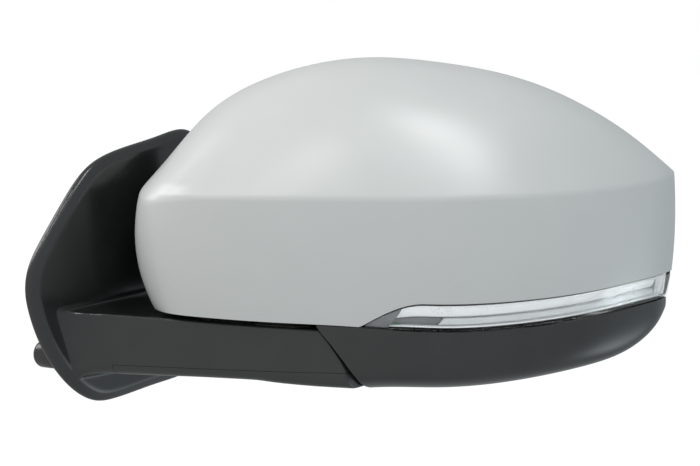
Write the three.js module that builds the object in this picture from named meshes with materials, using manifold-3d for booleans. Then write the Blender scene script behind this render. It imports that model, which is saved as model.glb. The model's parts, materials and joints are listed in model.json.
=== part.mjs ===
// Left-hand car side mirror with a power-folding head, an adjustable heated glass and a turn signal.
// Millimetres. +X points out of the car from the door, +Y to the rear of the car, +Z up. The origin is
// the middle of the foot's mounting face, which lies on the door in the plane X = 0.
import * as THREE from "three";
import { mergeVertices } from "three/addons/utils/BufferGeometryUtils.js";
import Module from "manifold-3d";

// ---------------------------------------------------------------- driving dimensions

const GAP = 0.4; // room between pieces that only meet
const WALL = 2.5; // moulded wall thickness

// The head frame: origin under the head where the fold axis leaves it, x along the head, y to its rear.
const HEAD_AT = new THREE.Vector3(94, 20, -26);
const HEAD_YAW = THREE.MathUtils.degToRad(35);
const PIVOT_Z = 6; // height in the head frame of the plane that parts head and foot
const PIVOT_LEAN = 0.035; // slope of that plane, down towards the tip and up towards the rear

// The foot's round end under the head, about the fold axis: height over the parting plane and radius.
const ROUND_END = [[-60, 45.5], [-25, 45], [-18, 43], [-9, 38.4], [0, 33.2], [12, 29.5]];
const FOLD_REAR_CUT = THREE.MathUtils.degToRad(48); // the lower cover stops here so that the head can fold
const PART_DROP = 0.9; // top of the foot's arm under the parting plane
const FOOT_ROOM = 1.6; // room between the foot and the lower cover around it

const FLANGE_FACE = 8; // outer face of the foot's flange
const RIM = 1.2; // where the flange's rim starts, just off the door
const PLATE = 3.2; // thickness of the cast plate on the door
const PLATE_INSET = 6.5; // how far that plate lies inside the flange's outline
const SEAL = [4.5, 6.1]; // how far the seal's two sides lie inside it
const SEAM_Z = -43.4; // height of the seam under the arm
const SEAM_FROM = 26; // where that seam starts
const ARM_EDGE = 3; // rounding of the arm's upper edges
const ARM_BELLY = 7; // rounding of its lower edges
const ARM_REAR = [16.2, 0.319]; // rear side of the arm: y = first + second * x
const POST_HOLE = 21; // radius of the hole over the pivot in the top of the arm
const STUDS = { front: [-31, 4], upper: [40, 48], lower: [44, -46] }; // y and z on the door
const STUD_OUT = 20; // how far the studs stand out of the mounting face
const PEG = [-40, -40];
const PEG_NECK = 2.6;
const SOCKET = { y: [-25, 5], z: [-42, -28] };

// The cap and the turn signal, which is measured along the cap in stations and up its band in shares.
const LENS_FROM = 5.13; // station where the lens starts
const LENS_SHARE = 0.2; // share of the band's height that the lens takes
const LENS_RISE = 0.72; // stations over which it reaches that height
const LOWER_TO = 10.8; // station where the lower cover ends
const LOWER_REAR = 54; // its rear wall
const LOWER_SIDES = 10; // its faces from the front edge down and round to the rear edge
const LOWER_SQUARENESS = 0.52; // how square its section is: 1 is an ellipse, 0 a rectangle
// The fold drive, about the fold axis.
const POST = 9; // radius of the pivot post
const POST_BORE = 6;
const GEAR_W = [11, 17]; // the ring gear's lower and upper face
const WORM_X = 18.6;
const MOTOR_AT = [26.6, -11];
const CASE_TOP = 52;
const CASE_ROUND = 19; // radius of the case around the post
const CASE_OUTLINE = [
  [-8, -17], [-2, -22], [36, -22], [38, -20], [38, 2], [36, 4], [18, 11], [9.5, 16.2], [-8, 17],
];
const LID_SCREWS = [[35.5, -19.5], [35, 1.2], [-3, -17]];
const SCREW_BORE = 1.8;

// The head frame, a tray in the head's xz plane, and what is screwed to it.
const FRAME_FROM = 1;
const FRAME_TO = 4;
const BEZEL_PILLARS = { upper: [-37, 66], lower: [-37, 34] }; // x and z of the pillars that hold the bezel
const FRAME_SCREWS = { upper: [45, 38], lower: [45, 22] }; // x and z of the screws into the gearbox case
const GLASS_LEGS = [62, 128]; // x of the two legs that reach back under the glass

// The glass and its actuator.
const TILT = new THREE.Vector3(78, 31, 64); // centre of the glass's cardan joint, in the head frame
const JACK = 25; // distance from it to each jack plunger
const ACTUATOR = 35; // outer radius
const ACTUATOR_FRONT = FRAME_TO + 0.5;
const COVER_AT = 24.4;
const EARS = [45, 165, 285].map((degrees) => THREE.MathUtils.degToRad(degrees)); // of the glass actuator
const EAR_AT = 39;
const WORM_GAP = 9.6; // from a jack's axis to its worm's axis
const GEAR_Y = 13.5; // middle of the jacks' nuts
const BALL = 3.2; // radius of a plunger's ball
const BALL_CUP = 3.9; // bore of the cup around it
const CARDAN = 11; // outer radius of the cardan ring
const CARDAN_HALF = 2.7; // half its height

// ---------------------------------------------------------------- materials

const matte = (color, roughness, metalness = 0) =>
  new THREE.MeshStandardMaterial({ color, roughness, metalness });
const paint = matte(0xbfc4c4, 0.35);
const trim = matte(0x2a2b2c, 0.5);
const hidden = matte(0x1c1d1e, 0.7);
const rubber = matte(0x151515, 0.9);
const cast = matte(0x9a9c9e, 0.45, 0.8);
const steel = matte(0xb4b6b8, 0.3, 0.9);
const nylon = matte(0xd9d6c8, 0.6);
const clear = matte(0xe8eef0, 0.1);
const bright = matte(0xe2e4e6, 0.2, 0.9);
const board = matte(0x2f6b45, 0.6);
const brass = matte(0xb98d3e, 0.4, 0.8);
const silvered = matte(0xcfd8dc, 0.05, 1);

// ---------------------------------------------------------------- groups

const mirror = new THREE.Group();
const head = new THREE.Group();
head.position.copy(HEAD_AT);
head.rotation.z = HEAD_YAW;
mirror.add(head);

// The pivot frame: +Z is the fold axis, its origin lies in the parting plane.
const pivot = new THREE.Group();
pivot.position.z = PIVOT_Z;
pivot.quaternion.setFromUnitVectors(
  new THREE.Vector3(0, 0, 1),
  new THREE.Vector3(PIVOT_LEAN, -PIVOT_LEAN, 1).normalize(),
);
head.add(pivot);
mirror.updateMatrixWorld(true);
const pivotInHead = pivot.matrix.clone();
const doorInHead = head.matrixWorld.clone().invert();

// ---------------------------------------------------------------- solids

const wasm = await Module();
wasm.setup();

function solid(geometry) {
  const bare = new THREE.BufferGeometry().setAttribute("position", geometry.getAttribute("position").clone());
  if (geometry.index) bare.setIndex(geometry.index.clone());
  const merged = mergeVertices(bare, 1e-4);
  return new wasm.Manifold(
    new wasm.Mesh({
      numProp: 3,
      vertProperties: new Float32Array(merged.attributes.position.array),
      triVerts: new Uint32Array(merged.index.array),
    }),
  );
}

function geometryOf(made) {
  const mesh = made.getMesh();
  return new THREE.BufferGeometry()
    .setAttribute("position", new THREE.BufferAttribute(mesh.vertProperties, 3))
    .setIndex(new THREE.BufferAttribute(mesh.triVerts, 1));
}

const moved = (geometry, x, y, z) => geometry.clone().translate(x, y, z);
const inHead = (geometry) => geometry.clone().applyMatrix4(pivotInHead);
const inFoot = (geometry) => inHead(geometry).applyMatrix4(head.matrixWorld);

// Turn geometry made along +Z so that it runs along +Y or +X.
const alongY = (geometry) => geometry.clone().rotateX(-Math.PI / 2);
const alongX = (geometry) => geometry.clone().rotateY(Math.PI / 2);

function add(parent, name, shape, material) {
  const geometry = shape.isBufferGeometry ? shape : geometryOf(shape);
  const mesh = new THREE.Mesh(geometry, material);
  mesh.name = name;
  parent.add(mesh);
  return mesh;
}

// A closed surface from rows of points. Rows that wrap close on themselves; loops close the last row on
// the first, and otherwise the first and last rows are capped.
function skin(rows, { loop = false } = {}) {
  const n = rows[0].length;
  const points = rows.flat();
  const faces = [];
  const count = loop ? rows.length : rows.length - 1;
  for (let r = 0; r < count; r++) {
    const a = r * n;
    const b = ((r + 1) % rows.length) * n;
    for (let k = 0; k < n; k++) {
      const l = (k + 1) % n;
      faces.push(a + k, a + l, b + l, a + k, b + l, b + k);
    }
  }
  if (!loop) {
    for (const [start, flip] of [[0, true], [(rows.length - 1) * n, false]]) {
      const row = rows[start / n];
      const middle = row.reduce((sum, p) => sum.add(p), new THREE.Vector3()).divideScalar(n);
      const hub = points.push(middle) - 1;
      for (let k = 0; k < n; k++) {
        const l = (k + 1) % n;
        faces.push(...(flip ? [hub, start + l, start + k] : [hub, start + k, start + l]));
      }
    }
  }
  return outward(points, faces);
}

// A panel between two grids of points that match one to one.
function panel(outer, inner) {
  const rows = outer.length;
  const cols = outer[0].length;
  const points = [...outer.flat(), ...inner.flat()];
  const far = rows * cols;
  const faces = [];
  for (let r = 0; r < rows - 1; r++) {
    for (let c = 0; c < cols - 1; c++) {
      const a = r * cols + c;
      const b = a + cols;
      faces.push(a, a + 1, b + 1, a, b + 1, b);
      faces.push(far + a, far + b + 1, far + a + 1, far + a, far + b, far + b + 1);
    }
  }
  const rim = [];
  for (let c = 0; c < cols - 1; c++) rim.push(c);
  for (let r = 0; r < rows - 1; r++) rim.push(r * cols + cols - 1);
  for (let c = cols - 1; c > 0; c--) rim.push((rows - 1) * cols + c);
  for (let r = rows - 1; r > 0; r--) rim.push(r * cols);
  rim.forEach((a, k) => {
    const b = rim[(k + 1) % rim.length];
    faces.push(a, far + b, b, a, far + a, far + b);
  });
  return outward(points, faces);
}

// A geometry whose faces point out, whichever way round its rows were given.
function outward(points, faces) {
  let six = 0;
  const cross = new THREE.Vector3();
  for (let i = 0; i < faces.length; i += 3) {
    const [a, b, c] = [points[faces[i]], points[faces[i + 1]], points[faces[i + 2]]];
    six += a.dot(cross.crossVectors(b, c));
  }
  if (six < 0) for (let i = 0; i < faces.length; i += 3) [faces[i], faces[i + 1]] = [faces[i + 1], faces[i]];
  return new THREE.BufferGeometry().setFromPoints(points).setIndex(faces);
}

const turned = (profile, sides) =>
  new THREE.LatheGeometry(profile.map(([r, z]) => new THREE.Vector2(r, z)), sides).rotateX(Math.PI / 2);
const sidesFor = (radius) => (radius < 2.5 ? 8 : radius < 8 ? 12 : radius < 18 ? 18 : 28);
const disc = (radius, from, to) =>
  turned([[0, from], [radius, from], [radius, to], [0, to]], sidesFor(radius));
const ring = (outer, inner, from, to) =>
  turned([[inner, from], [outer, from], [outer, to], [inner, to], [inner, from]], sidesFor(outer));

function box(x0, x1, y0, y1, z0, z1) {
  return new THREE.BoxGeometry(x1 - x0, y1 - y0, z1 - z0)
    .translate((x0 + x1) / 2, (y0 + y1) / 2, (z0 + z1) / 2);
}

function prism(points, from, to) {
  const shape = new THREE.Shape(points.map(([x, y]) => new THREE.Vector2(x, y)));
  return new THREE.ExtrudeGeometry(shape, { depth: to - from, bevelEnabled: false }).translate(0, 0, from);
}

const evenly = (from, to, count) =>
  Array.from({ length: count + 1 }, (_, i) => from + ((to - from) * i) / count);

// A round bar along a smooth line through points.
function bar(points, radius, steps, sides = 8) {
  const line = new THREE.CatmullRomCurve3(points.map((p) => new THREE.Vector3(...p)), false, "centripetal");
  const section = new THREE.Shape();
  section.absarc(0, 0, radius, 0, 2 * Math.PI);
  return new THREE.ExtrudeGeometry(section, { steps, extrudePath: line, curveSegments: sides / 2 });
}

// A screw that points down -Z from the underside of its head at the origin.
const screw = (length) =>
  turned([[0, -length], [1.5, -length], [1.5, 0], [3.4, 0], [3, 1.8], [0, 1.8]], 8);

// A toothed wheel with its bore.
function wheel(teeth, root, tip, bore, from, to) {
  const outline = evenly(0, teeth, teeth * 4).slice(0, -1).map((k, i) => {
    const angle = (2 * Math.PI * k) / teeth;
    const radius = i % 4 < 2 ? tip : root;
    return [radius * Math.cos(angle), radius * Math.sin(angle)];
  });
  return solid(prism(outline, from, to)).subtract(solid(disc(bore, from - 1, to + 1)));
}

// A closed outline moved inwards by depth; its points run anticlockwise.
function shrink(points, depth) {
  return points.map(([x, y], i) => {
    const [px, py] = points.at(i - 1);
    const [nx, ny] = points[(i + 1) % points.length];
    const a = new THREE.Vector2(py - y, x - px).normalize();
    const b = new THREE.Vector2(y - ny, nx - x).normalize();
    const k = depth / (1 + a.dot(b));
    return [x + (a.x + b.x) * k, y + (a.y + b.y) * k];
  });
}

// A smooth closed outline through corners.
const smoothLoop = (corners, count) =>
  new THREE.CatmullRomCurve3(corners.map(([x, y]) => new THREE.Vector3(x, y, 0)), true, "centripetal")
    .getSpacedPoints(count)
    .slice(0, -1)
    .map((p) => [p.x, p.y]);

// A plate in the head frame's xz plane.
const upright = (outline, from, to) => prism(outline, -to, -from).rotateX(Math.PI / 2);

// ---------------------------------------------------------------- the head's outer form

// Each station holds the crease of the cap, its bottom edge and its rear edge, from inboard to the tip.
const STATIONS = [
  [[-72.4, 16, 64], [-63, 20, 11], [-72.4, 18, 67.5]],
  [[-72, -1, 65], [-65.4, 5, 10.4], [-70.5, 26, 71]],
  [[-63, -16, 66.5], [-58.6, -9, 9.4], [-62, 40, 81.5]],
  [[-41, -26, 67.5], [-39.5, -19, 8.3], [-44, 48, 103]],
  [[-6, -33, 67.5], [-6, -27, 6.9], [-10, 48, 124]],
  [[33, -37.5, 67.5], [33, -32, 5.5], [33, 48, 134]],
  [[75, -38.5, 67.5], [75, -33, 3], [75, 48, 132.5]],
  [[114, -33, 68.5], [112, -27, 4], [112, 48, 126]],
  [[150, -17.5, 70], [148, -11, 7], [146, 48, 113.5]],
  [[176, 3, 72], [174, 10, 10], [174, 48, 97]],
  [[191, 23, 73.5], [189, 27, 11.3], [190, 48, 84.5]],
  [[200.2, 46, 73.6], [197.3, 45, 11.5], [200, 48, 76]],
].map((station) => station.map((p) => new THREE.Vector3(...p)));
const LAST = STATIONS.length - 1;

// Distance along the crease at each station, which all three rails are smoothed over.
const REACH = STATIONS.map(() => 0);
for (let i = 1; i <= LAST; i++) REACH[i] = REACH[i - 1] + STATIONS[i][0].distanceTo(STATIONS[i - 1][0]);

// A smooth curve through values given at REACH; s counts stations, so that 2.5 lies between stations 2 and 3.
function rail(values, s) {
  const i = Math.min(LAST - 1, Math.floor(s));
  const step = REACH[i + 1] - REACH[i];
  const t = s - i;
  const slope = (k) => {
    const a = Math.max(0, k - 1);
    const b = Math.min(LAST, k + 1);
    return values[b].clone().sub(values[a]).divideScalar(REACH[b] - REACH[a]).multiplyScalar(step);
  };
  return values[i].clone().multiplyScalar((1 + 2 * t) * (1 - t) ** 2)
    .addScaledVector(slope(i), t * (1 - t) ** 2)
    .addScaledVector(values[i + 1], t * t * (3 - 2 * t))
    .addScaledVector(slope(i + 1), t * t * (t - 1));
}

const creases = STATIONS.map((p) => p[0]);
const bottoms = STATIONS.map((p) => p[1]);
const rears = STATIONS.map((p) => p[2]);

const cubic = (a, b, c, d, t) =>
  a.clone().multiplyScalar((1 - t) ** 3)
    .addScaledVector(b, 3 * t * (1 - t) ** 2)
    .addScaledVector(c, 3 * t * t * (1 - t))
    .addScaledVector(d, t ** 3);

const partWay = (a, b, x, y, z) =>
  new THREE.Vector3(a.x + (b.x - a.x) * x, a.y + (b.y - a.y) * y, a.z + (b.z - a.z) * z);

// The upright band under the crease: t runs from the bottom edge up to the crease.
function band(s, t) {
  const low = rail(bottoms, s);
  const high = rail(creases, s);
  return cubic(low, partWay(low, high, 1.3, 0.8, 0.33), partWay(low, high, 1.45, 1, 0.65), high, t);
}

// The dome over the crease: t runs from the crease to the rear edge.
function dome(s, t) {
  const low = rail(creases, s);
  const high = rail(rears, s);
  return cubic(low, partWay(low, high, 0.12, 0.22, 0.5), partWay(low, high, 0.6, 0.5, 0.99), high, t);
}

// Moves each point of a grid inwards, away from the side that its neighbours face.
function inset(grid, depth) {
  return grid.map((row, r) =>
    row.map((p, c) => {
      const along = grid[Math.min(r + 1, grid.length - 1)][c].clone().sub(grid[Math.max(r - 1, 0)][c]);
      const across = row[Math.min(c + 1, row.length - 1)].clone().sub(row[Math.max(c - 1, 0)]);
      return p.clone().addScaledVector(across.cross(along).normalize(), depth);
    }),
  );
}

// ---------------------------------------------------------------- turn signal outline

// Share of the band's height that lies under the lens's upper edge.
function lensTop(s) {
  const t = THREE.MathUtils.clamp((s - LENS_FROM) / LENS_RISE, 0, 1);
  return LENS_SHARE * Math.sin((t * Math.PI) / 2);
}

// ---------------------------------------------------------------- painted cap

function frontCover() {
  const columns = [...evenly(0, 5, 10), LENS_FROM, 5.35, LENS_FROM + LENS_RISE, ...evenly(6.5, LAST, 9)];
  const outer = columns.map((s) => {
    const low = s < LENS_FROM ? 0 : lensTop(s) + 0.016;
    return [
      ...evenly(low, 1, 4).map((t) => band(s, t)),
      ...evenly(0, 1, 7).slice(1).map((t) => dome(s, t)),
    ];
  });
  const inner = inset(outer, WALL);
  outer.forEach((row, r) => row.forEach((p, c) => {
    const onRear = r === 0 || r === outer.length - 1 || c === row.length - 1;
    if (onRear) inner[r][c].y = Math.min(inner[r][c].y, p.y);
  }));
  return panel(outer, inner);
}
add(head, "front_cover", frontCover(), paint);

// ---------------------------------------------------------------- turn signal

const LAMP_TO = LAST - 0.06;

// A strip of the band's surface between two depths under it.
function lampStrip({ from, to, low, high, outer, inner }) {
  const columns = evenly(from, to, 14);
  const surface = columns.map((s) => {
    const top = lensTop(s) * high;
    return evenly(Math.min(low, top - 0.02), top, 2).map((t) => band(s, t));
  });
  return panel(inset(surface, outer), inset(surface, inner));
}

const LENS = { from: 5.28, to: LAMP_TO, low: 0.01, high: 0.96, outer: 0, inner: 2.2 };
const REFLECTOR = { from: 5.92, to: 10.5, low: 0.035, high: 0.84, outer: 7, inner: 8 };
add(head, "lamp_lens", lampStrip(LENS), clear);
add(head, "lamp_reflector", lampStrip(REFLECTOR), bright);

function lampHousing() {
  const whole = lampStrip({ from: 5.82, to: 10.6, low: 0.005, high: 0.99, outer: 2.6, inner: 10.6 });
  const room = lampStrip({ from: 5.87, to: 10.55, low: 0.025, high: 0.89, outer: 2, inner: 9.2 });
  return solid(whole).subtract(solid(room));
}
add(head, "lamp_housing", lampHousing(), hidden);

function lightGuide() {
  const surface = evenly(5.97, 10.45, 12).map((s) => evenly(0.02, 0.18, 2).map((t) => band(s, t)));
  return bar(inset(surface, 4.6).map((row) => row[1].toArray()), 1.6, 20);
}
add(head, "light_guide", lightGuide(), clear);

const lampRoot = band(5.45, 0.08);
add(head, "lamp_board", box(-6, 5, 5, 6.4, -3, 5).translate(...lampRoot), board);

// ---------------------------------------------------------------- lower cover

const LOWER_FLOOR = [0, 0, 0, 0, -29, -29.3, -28, -25.6, -20.3, -13.6, -3.6, 7.5]; // underside, by station
const LOWER_RIM = [12.2, 12, 11.8, 10.8, 9, 7.6, 6.9, 6.9, 7.9, 9.4, 10.4, 10.9]; // its rear rim, by station

const heightAt = (list, s) => rail(list.map((v) => new THREE.Vector3(v, 0, 0)), s).x;

// A closed section of the lower cover at station s, shrunk by margin and open upwards when raised.
function lowerSection(s, margin, raised) {
  const front = rail(bottoms, s);
  const rim = heightAt(LOWER_RIM, s) - GAP;
  const floor = heightAt(LOWER_FLOOR, s) + margin;
  const middle = (front.y + LOWER_REAR) / 2;
  const half = (LOWER_REAR - front.y) / 2 - margin;
  const shape = (v, power) => Math.sign(v) * Math.abs(v) ** power;
  const points = evenly(0, Math.PI, LOWER_SIDES).map((angle) => {
    const y = middle - half * shape(Math.cos(angle), LOWER_SQUARENESS);
    const share = (y - front.y) / (LOWER_REAR - front.y);
    const top = (front.z - GAP) * (1 - share) + rim * share;
    return new THREE.Vector3(front.x, y, top - (top - floor) * shape(Math.sin(angle), LOWER_SQUARENESS));
  });
  if (raised) for (const p of [points[0], points[LOWER_SIDES]]) p.z += raised;
  return points;
}

// The foot's round end about the fold axis, extra further out.
function roundEnd(extra) {
  const side = ROUND_END.map(([height, radius]) => [radius + extra, height]);
  return turned([[0, side[0][1]], ...side, [0, side.at(-1)[1]]], 36);
}

// Everything that the lower cover has to leave free for the foot, margin further out.
function footRoom(margin) {
  const reach = 200;
  const rearCut = [
    [0, 0],
    [reach * Math.cos(FOLD_REAR_CUT), reach * Math.sin(FOLD_REAR_CUT)],
    [-reach, reach],
    [-reach, -reach],
    [0, -reach],
  ].map(([x, y]) => [x + margin, y - margin]);
  return solid(inHead(roundEnd(margin))).add(solid(inHead(prism(rearCut, -70, 30))));
}

function lowerCover() {
  const columns = [4, 4.5, 5, 5.6, 6.3, 7, 7.7, 8.4, 9, 9.5, 10, 10.5, LOWER_TO];
  const outer = skin(columns.map((s) => lowerSection(s, 0, 0)));
  const inner = skin(columns.slice(0, -1).map((s) => lowerSection(s, WALL, 20)));
  return solid(outer).subtract(footRoom(FOOT_ROOM))
    .subtract(solid(inner).subtract(footRoom(FOOT_ROOM + WALL)));
}
add(head, "lower_cover", lowerCover(), trim);

// ---------------------------------------------------------------- housing floor over the foot

function floorPanel() {
  const front = evenly(0.2, 5.4, 16).map((s) => rail(bottoms, s)).map((p) => [p.x, p.y]);
  const outline = [...shrink([...front, [45, 46], [-44, 46]], WALL + GAP)];
  const plate = solid(inHead(prism(outline, 1.4, 3.8)));
  const pivotHole = solid(inHead(disc(CASE_ROUND + GAP, 0, 6)));
  return plate.intersect(footRoom(FOOT_ROOM - GAP)).subtract(pivotHole);
}

// ---------------------------------------------------------------- glass outline

const GLASS = smoothLoop([
  [-22, 44], [-19, 26], [-6, 18.5], [25, 16], [75, 15], [120, 16], [156, 19.5],
  [173, 27], [178, 44], [176, 66], [164, 86], [138, 103], [105, 114.5], [70, 119.5],
  [36, 119], [6, 108], [-14, 90], [-21, 68],
], 36);

// The point where the line from the glass's centre towards p crosses an outline.
function crossing(outline, p) {
  const origin = new THREE.Vector2(TILT.x, TILT.z);
  const way = new THREE.Vector2(p.x, p.z).sub(origin);
  for (let i = 0; i < outline.length; i++) {
    const a = new THREE.Vector2(...outline[i]).sub(origin);
    const edge = new THREE.Vector2(...outline[(i + 1) % outline.length]).sub(origin).sub(a);
    const share = a.cross(way) / way.cross(edge);
    const reach = a.cross(edge) / way.cross(edge);
    if (reach > 0 && share >= 0 && share <= 1) return way.clone().multiplyScalar(reach).add(origin);
  }
}

// ---------------------------------------------------------------- rear bezel

const LIP_Y = 60; // rearmost plane of the head

// The line where the bezel meets the cap, the floor and the lower cover.
function bezelFront() {
  const top = evenly(0, LAST, 22).map((s) => rail(rears, s));
  const tip = [0.75, 0.45, 0.15].map((t) => band(LAST, t));
  const under = evenly(LAST - 0.1, 2.6, 14)
    .map((s) => new THREE.Vector3(rail(bottoms, s).x, 46, heightAt(LOWER_RIM, s) + 0.4));
  const corner = new THREE.Vector3(-57.5, 34, 12.8);
  const inboard = [0.06, 0.3, 0.6, 0.85].map((t) => band(0, t));
  return [...top, ...tip, ...under, corner, ...inboard];
}

function rearBezel() {
  const opening = shrink(GLASS, -2.6);
  const rows = bezelFront().map((p) => {
    const hit = crossing(opening, p);
    const inwards = new THREE.Vector3(hit.x - p.x, 0, hit.y - p.z);
    const width = inwards.length();
    inwards.normalize();
    const wide = THREE.MathUtils.smoothstep(-p.x, 30, 70);
    const start = p.y + GAP + wide * 2.6;
    const lip = 2.8 + wide * 18;
    const at = (depth, y) => new THREE.Vector3(p.x, y, p.z).addScaledVector(inwards, depth);
    const middle = start + (LIP_Y - start) * 0.62;
    return [
      at(0, start),
      at(0.6 + wide * 6, middle),
      at(lip, LIP_Y),
      at(lip + 2, LIP_Y),
      at(width - 0.6, LIP_Y - 2.5),
      at(width, 44),
      at(width - 2, 44),
      at(width - 2.8, LIP_Y - 4.6),
      at(lip + 1.2, LIP_Y - 2.4),
      at(3 + wide * 6, middle - 0.8),
      at(2.4, start),
    ];
  });
  return skin(rows, { loop: true });
}
add(head, "rear_bezel", rearBezel(), trim);

// ---------------------------------------------------------------- head frame

const FRAME = smoothLoop([
  [-50, 40], [-44, 20], [-20, 14], [40, 14], [110, 14], [146, 20], [158, 42], [154, 66],
  [138, 86], [108, 100], [70, 106], [30, 104], [-4, 93], [-32, 78], [-46, 62],
], 30);

function headFrame() {
  const hole = (x, z, radius) => solid(moved(alongY(disc(radius, -1, 8)), x, 0, z));
  let frame = solid(upright(FRAME, FRAME_FROM, FRAME_TO));
  const rib = solid(upright(shrink(FRAME, 1), FRAME_TO - 0.5, 11))
    .subtract(solid(upright(shrink(FRAME, 3.4), 3, 12)));
  frame = frame.add(rib);
  for (const [x, z] of Object.values(BEZEL_PILLARS)) {
    frame = frame.add(solid(moved(alongY(disc(5, FRAME_TO - 1, 50)), x, 0, z)));
  }
  for (const x of GLASS_LEGS) {
    frame = frame.add(solid(box(x - 7, x + 7, 3, 43, 10.5, 13)));
    frame = frame.add(solid(box(x - 7, x + 7, 3, 5.5, 10.5, 17)));
  }
  const round = solid(inHead(disc(CASE_ROUND + 1, 0, 62)));
  const square = solid(inHead(prism(shrink(CASE_OUTLINE, -1), 0, 62)));
  frame = frame.subtract(round.add(square));
  for (const angle of EARS) {
    frame = frame.subtract(hole(TILT.x + EAR_AT * Math.cos(angle), TILT.z + EAR_AT * Math.sin(angle), 1.8));
  }
  for (const [x, z] of Object.values(FRAME_SCREWS)) frame = frame.subtract(hole(x, z, 1.8));
  for (const [x, z] of Object.values(BEZEL_PILLARS)) {
    frame = frame.subtract(solid(moved(alongY(disc(1.8, 38, 51)), x, 0, z)));
  }
  return frame.subtract(hole(TILT.x, TILT.z, 6));
}
add(head, "head_frame", headFrame(), hidden);
add(head, "floor_panel", floorPanel(), trim);

// ---------------------------------------------------------------- fold drive, about the fold axis

function foldCase() {
  const room = shrink(CASE_OUTLINE, 2);
  const outer = solid(disc(CASE_ROUND, 1.6, CASE_TOP)).add(solid(prism(CASE_OUTLINE, 4.6, CASE_TOP)));
  const inner = solid(disc(CASE_ROUND - 2, 3.8, 60)).add(solid(prism(room, 6.6, 60)));
  let made = outer.subtract(inner).subtract(solid(disc(10.8, 0, 5)));
  for (const [x, y] of LID_SCREWS) made = made.add(solid(moved(disc(3, 6, CASE_TOP), x, y, 0)));
  for (const [x, y] of LID_SCREWS) {
    made = made.subtract(solid(moved(disc(SCREW_BORE, CASE_TOP - 12, 60), x, y, 0)));
  }
  return made;
}

function foldCaseInHead() {
  const flange = solid(box(37.9, 50, -3.4, FRAME_FROM - GAP, 14, 46));
  let made = solid(inHead(geometryOf(foldCase()))).add(flange);
  for (const [x, z] of Object.values(FRAME_SCREWS)) {
    made = made.subtract(solid(moved(alongY(disc(SCREW_BORE, -6, 4)), x, 0, z)));
  }
  return made;
}
add(head, "fold_case", foldCaseInHead(), hidden);

function foldLid() {
  const [from, to] = [CASE_TOP + 0.3, CASE_TOP + 2.5];
  const plate = solid(disc(CASE_ROUND, from, to)).add(solid(prism(CASE_OUTLINE, from, to)));
  let made = plate.subtract(solid(disc(POST_BORE + 0.5, CASE_TOP, CASE_TOP + 4)));
  for (const [x, y] of LID_SCREWS) {
    made = made.subtract(solid(moved(disc(SCREW_BORE, CASE_TOP, CASE_TOP + 4), x, y, 0)));
  }
  return made;
}
add(pivot, "fold_case_lid", foldLid(), hidden);
LID_SCREWS.forEach(([x, y], i) => {
  add(pivot, `fold_case_screw_${i + 1}`, moved(screw(11), x, y, CASE_TOP + 2.8), steel);
});

add(pivot, "pivot_post", turned([
  [POST_BORE, -15], [POST, -15], [POST, -3.1], [17, -3.1], [17, -0.2],
  [POST, -0.2], [POST, 46], [POST_BORE, 46], [POST_BORE, -15],
], 20), steel);
add(pivot, "pivot_bush", turned([
  [POST + 0.3, 0.1], [16, 0.1], [16, 1.3], [10.5, 1.3], [10.5, 8], [POST + 0.3, 8], [POST + 0.3, 0.1],
], 20), nylon);
add(pivot, "fold_ring_gear", wheel(24, 12.2, 14, POST + 0.3, ...GEAR_W), steel);
add(pivot, "clutch_ring", clutchRing(), steel);
add(pivot, "pivot_spring", pivotSpring(), steel);
add(pivot, "spring_washer", ring(14, POST + 0.3, 41, 42.4), steel);
add(pivot, "retaining_clip", ring(12, POST + 0.3, 42.8, 44.2), steel);

// A ring with sprung detent notches on its underside.
function clutchRing() {
  let made = solid(ring(14, POST + 0.3, GEAR_W[1] + 0.4, GEAR_W[1] + 4));
  for (const angle of [0, 90, 180, 270]) {
    const notch = box(-1.2, 1.2, 8, 16, 16, GEAR_W[1] + 1.3).rotateZ(THREE.MathUtils.degToRad(angle));
    made = made.subtract(solid(notch));
  }
  return made;
}

function pivotSpring() {
  const turns = 4.5;
  const points = evenly(0, turns, turns * 8).map((t) => [
    11.8 * Math.cos(2 * Math.PI * t), 11.8 * Math.sin(2 * Math.PI * t), 23 + (16.4 * t) / turns,
  ]);
  return bar(points, 1.2, turns * 10, 6);
}

// A worm on its shaft along +Z: threads of the given pitch between two heights.
function worm(shaft, tip, pitch, from, to, start, end) {
  const profile = [[0, start], [shaft, start], [shaft, from]];
  for (let z = from; z < to - pitch / 2; z += pitch) {
    profile.push([tip, z + pitch * 0.3], [tip, z + pitch * 0.55], [shaft, z + pitch * 0.85]);
  }
  return turned([...profile, [shaft, end], [0, end]], 10);
}

function foldWorm() {
  const shaft = solid(worm(1.8, 3.8, 2.4, -5.5, 5.5, -18.5, 8));
  return shaft.add(wheel(12, 4.6, 5.6, 1, -13, -9));
}
const GEAR_MIDDLE = (GEAR_W[0] + GEAR_W[1]) / 2;
add(pivot, "fold_worm", moved(alongY(geometryOf(foldWorm())), WORM_X, 0, GEAR_MIDDLE), brass);

function foldMotor() {
  const shaft = [[0, 8], [1.2, 8], [1.2, 9], [1.9, 9.4], [1.9, 18.6], [1.2, 19], [1.2, 22]];
  const can = [[4, 22], [4, 24], [8, 24], [8.4, 24.5], [8.4, 48], [8, 48.5], [0, 48.5]];
  return turned([...shaft, ...can], 16);
}
add(pivot, "fold_motor", moved(foldMotor(), ...MOTOR_AT, 0), steel);

for (const [name, [x, z]] of Object.entries(FRAME_SCREWS)) {
  add(head, `frame_screw_${name}`, moved(alongY(screw(6)), x, FRAME_TO + 0.3, z), steel);
}

// ---------------------------------------------------------------- glass actuator

const atTilt = (geometry) => moved(geometry, TILT.x, 0, TILT.z);

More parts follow.
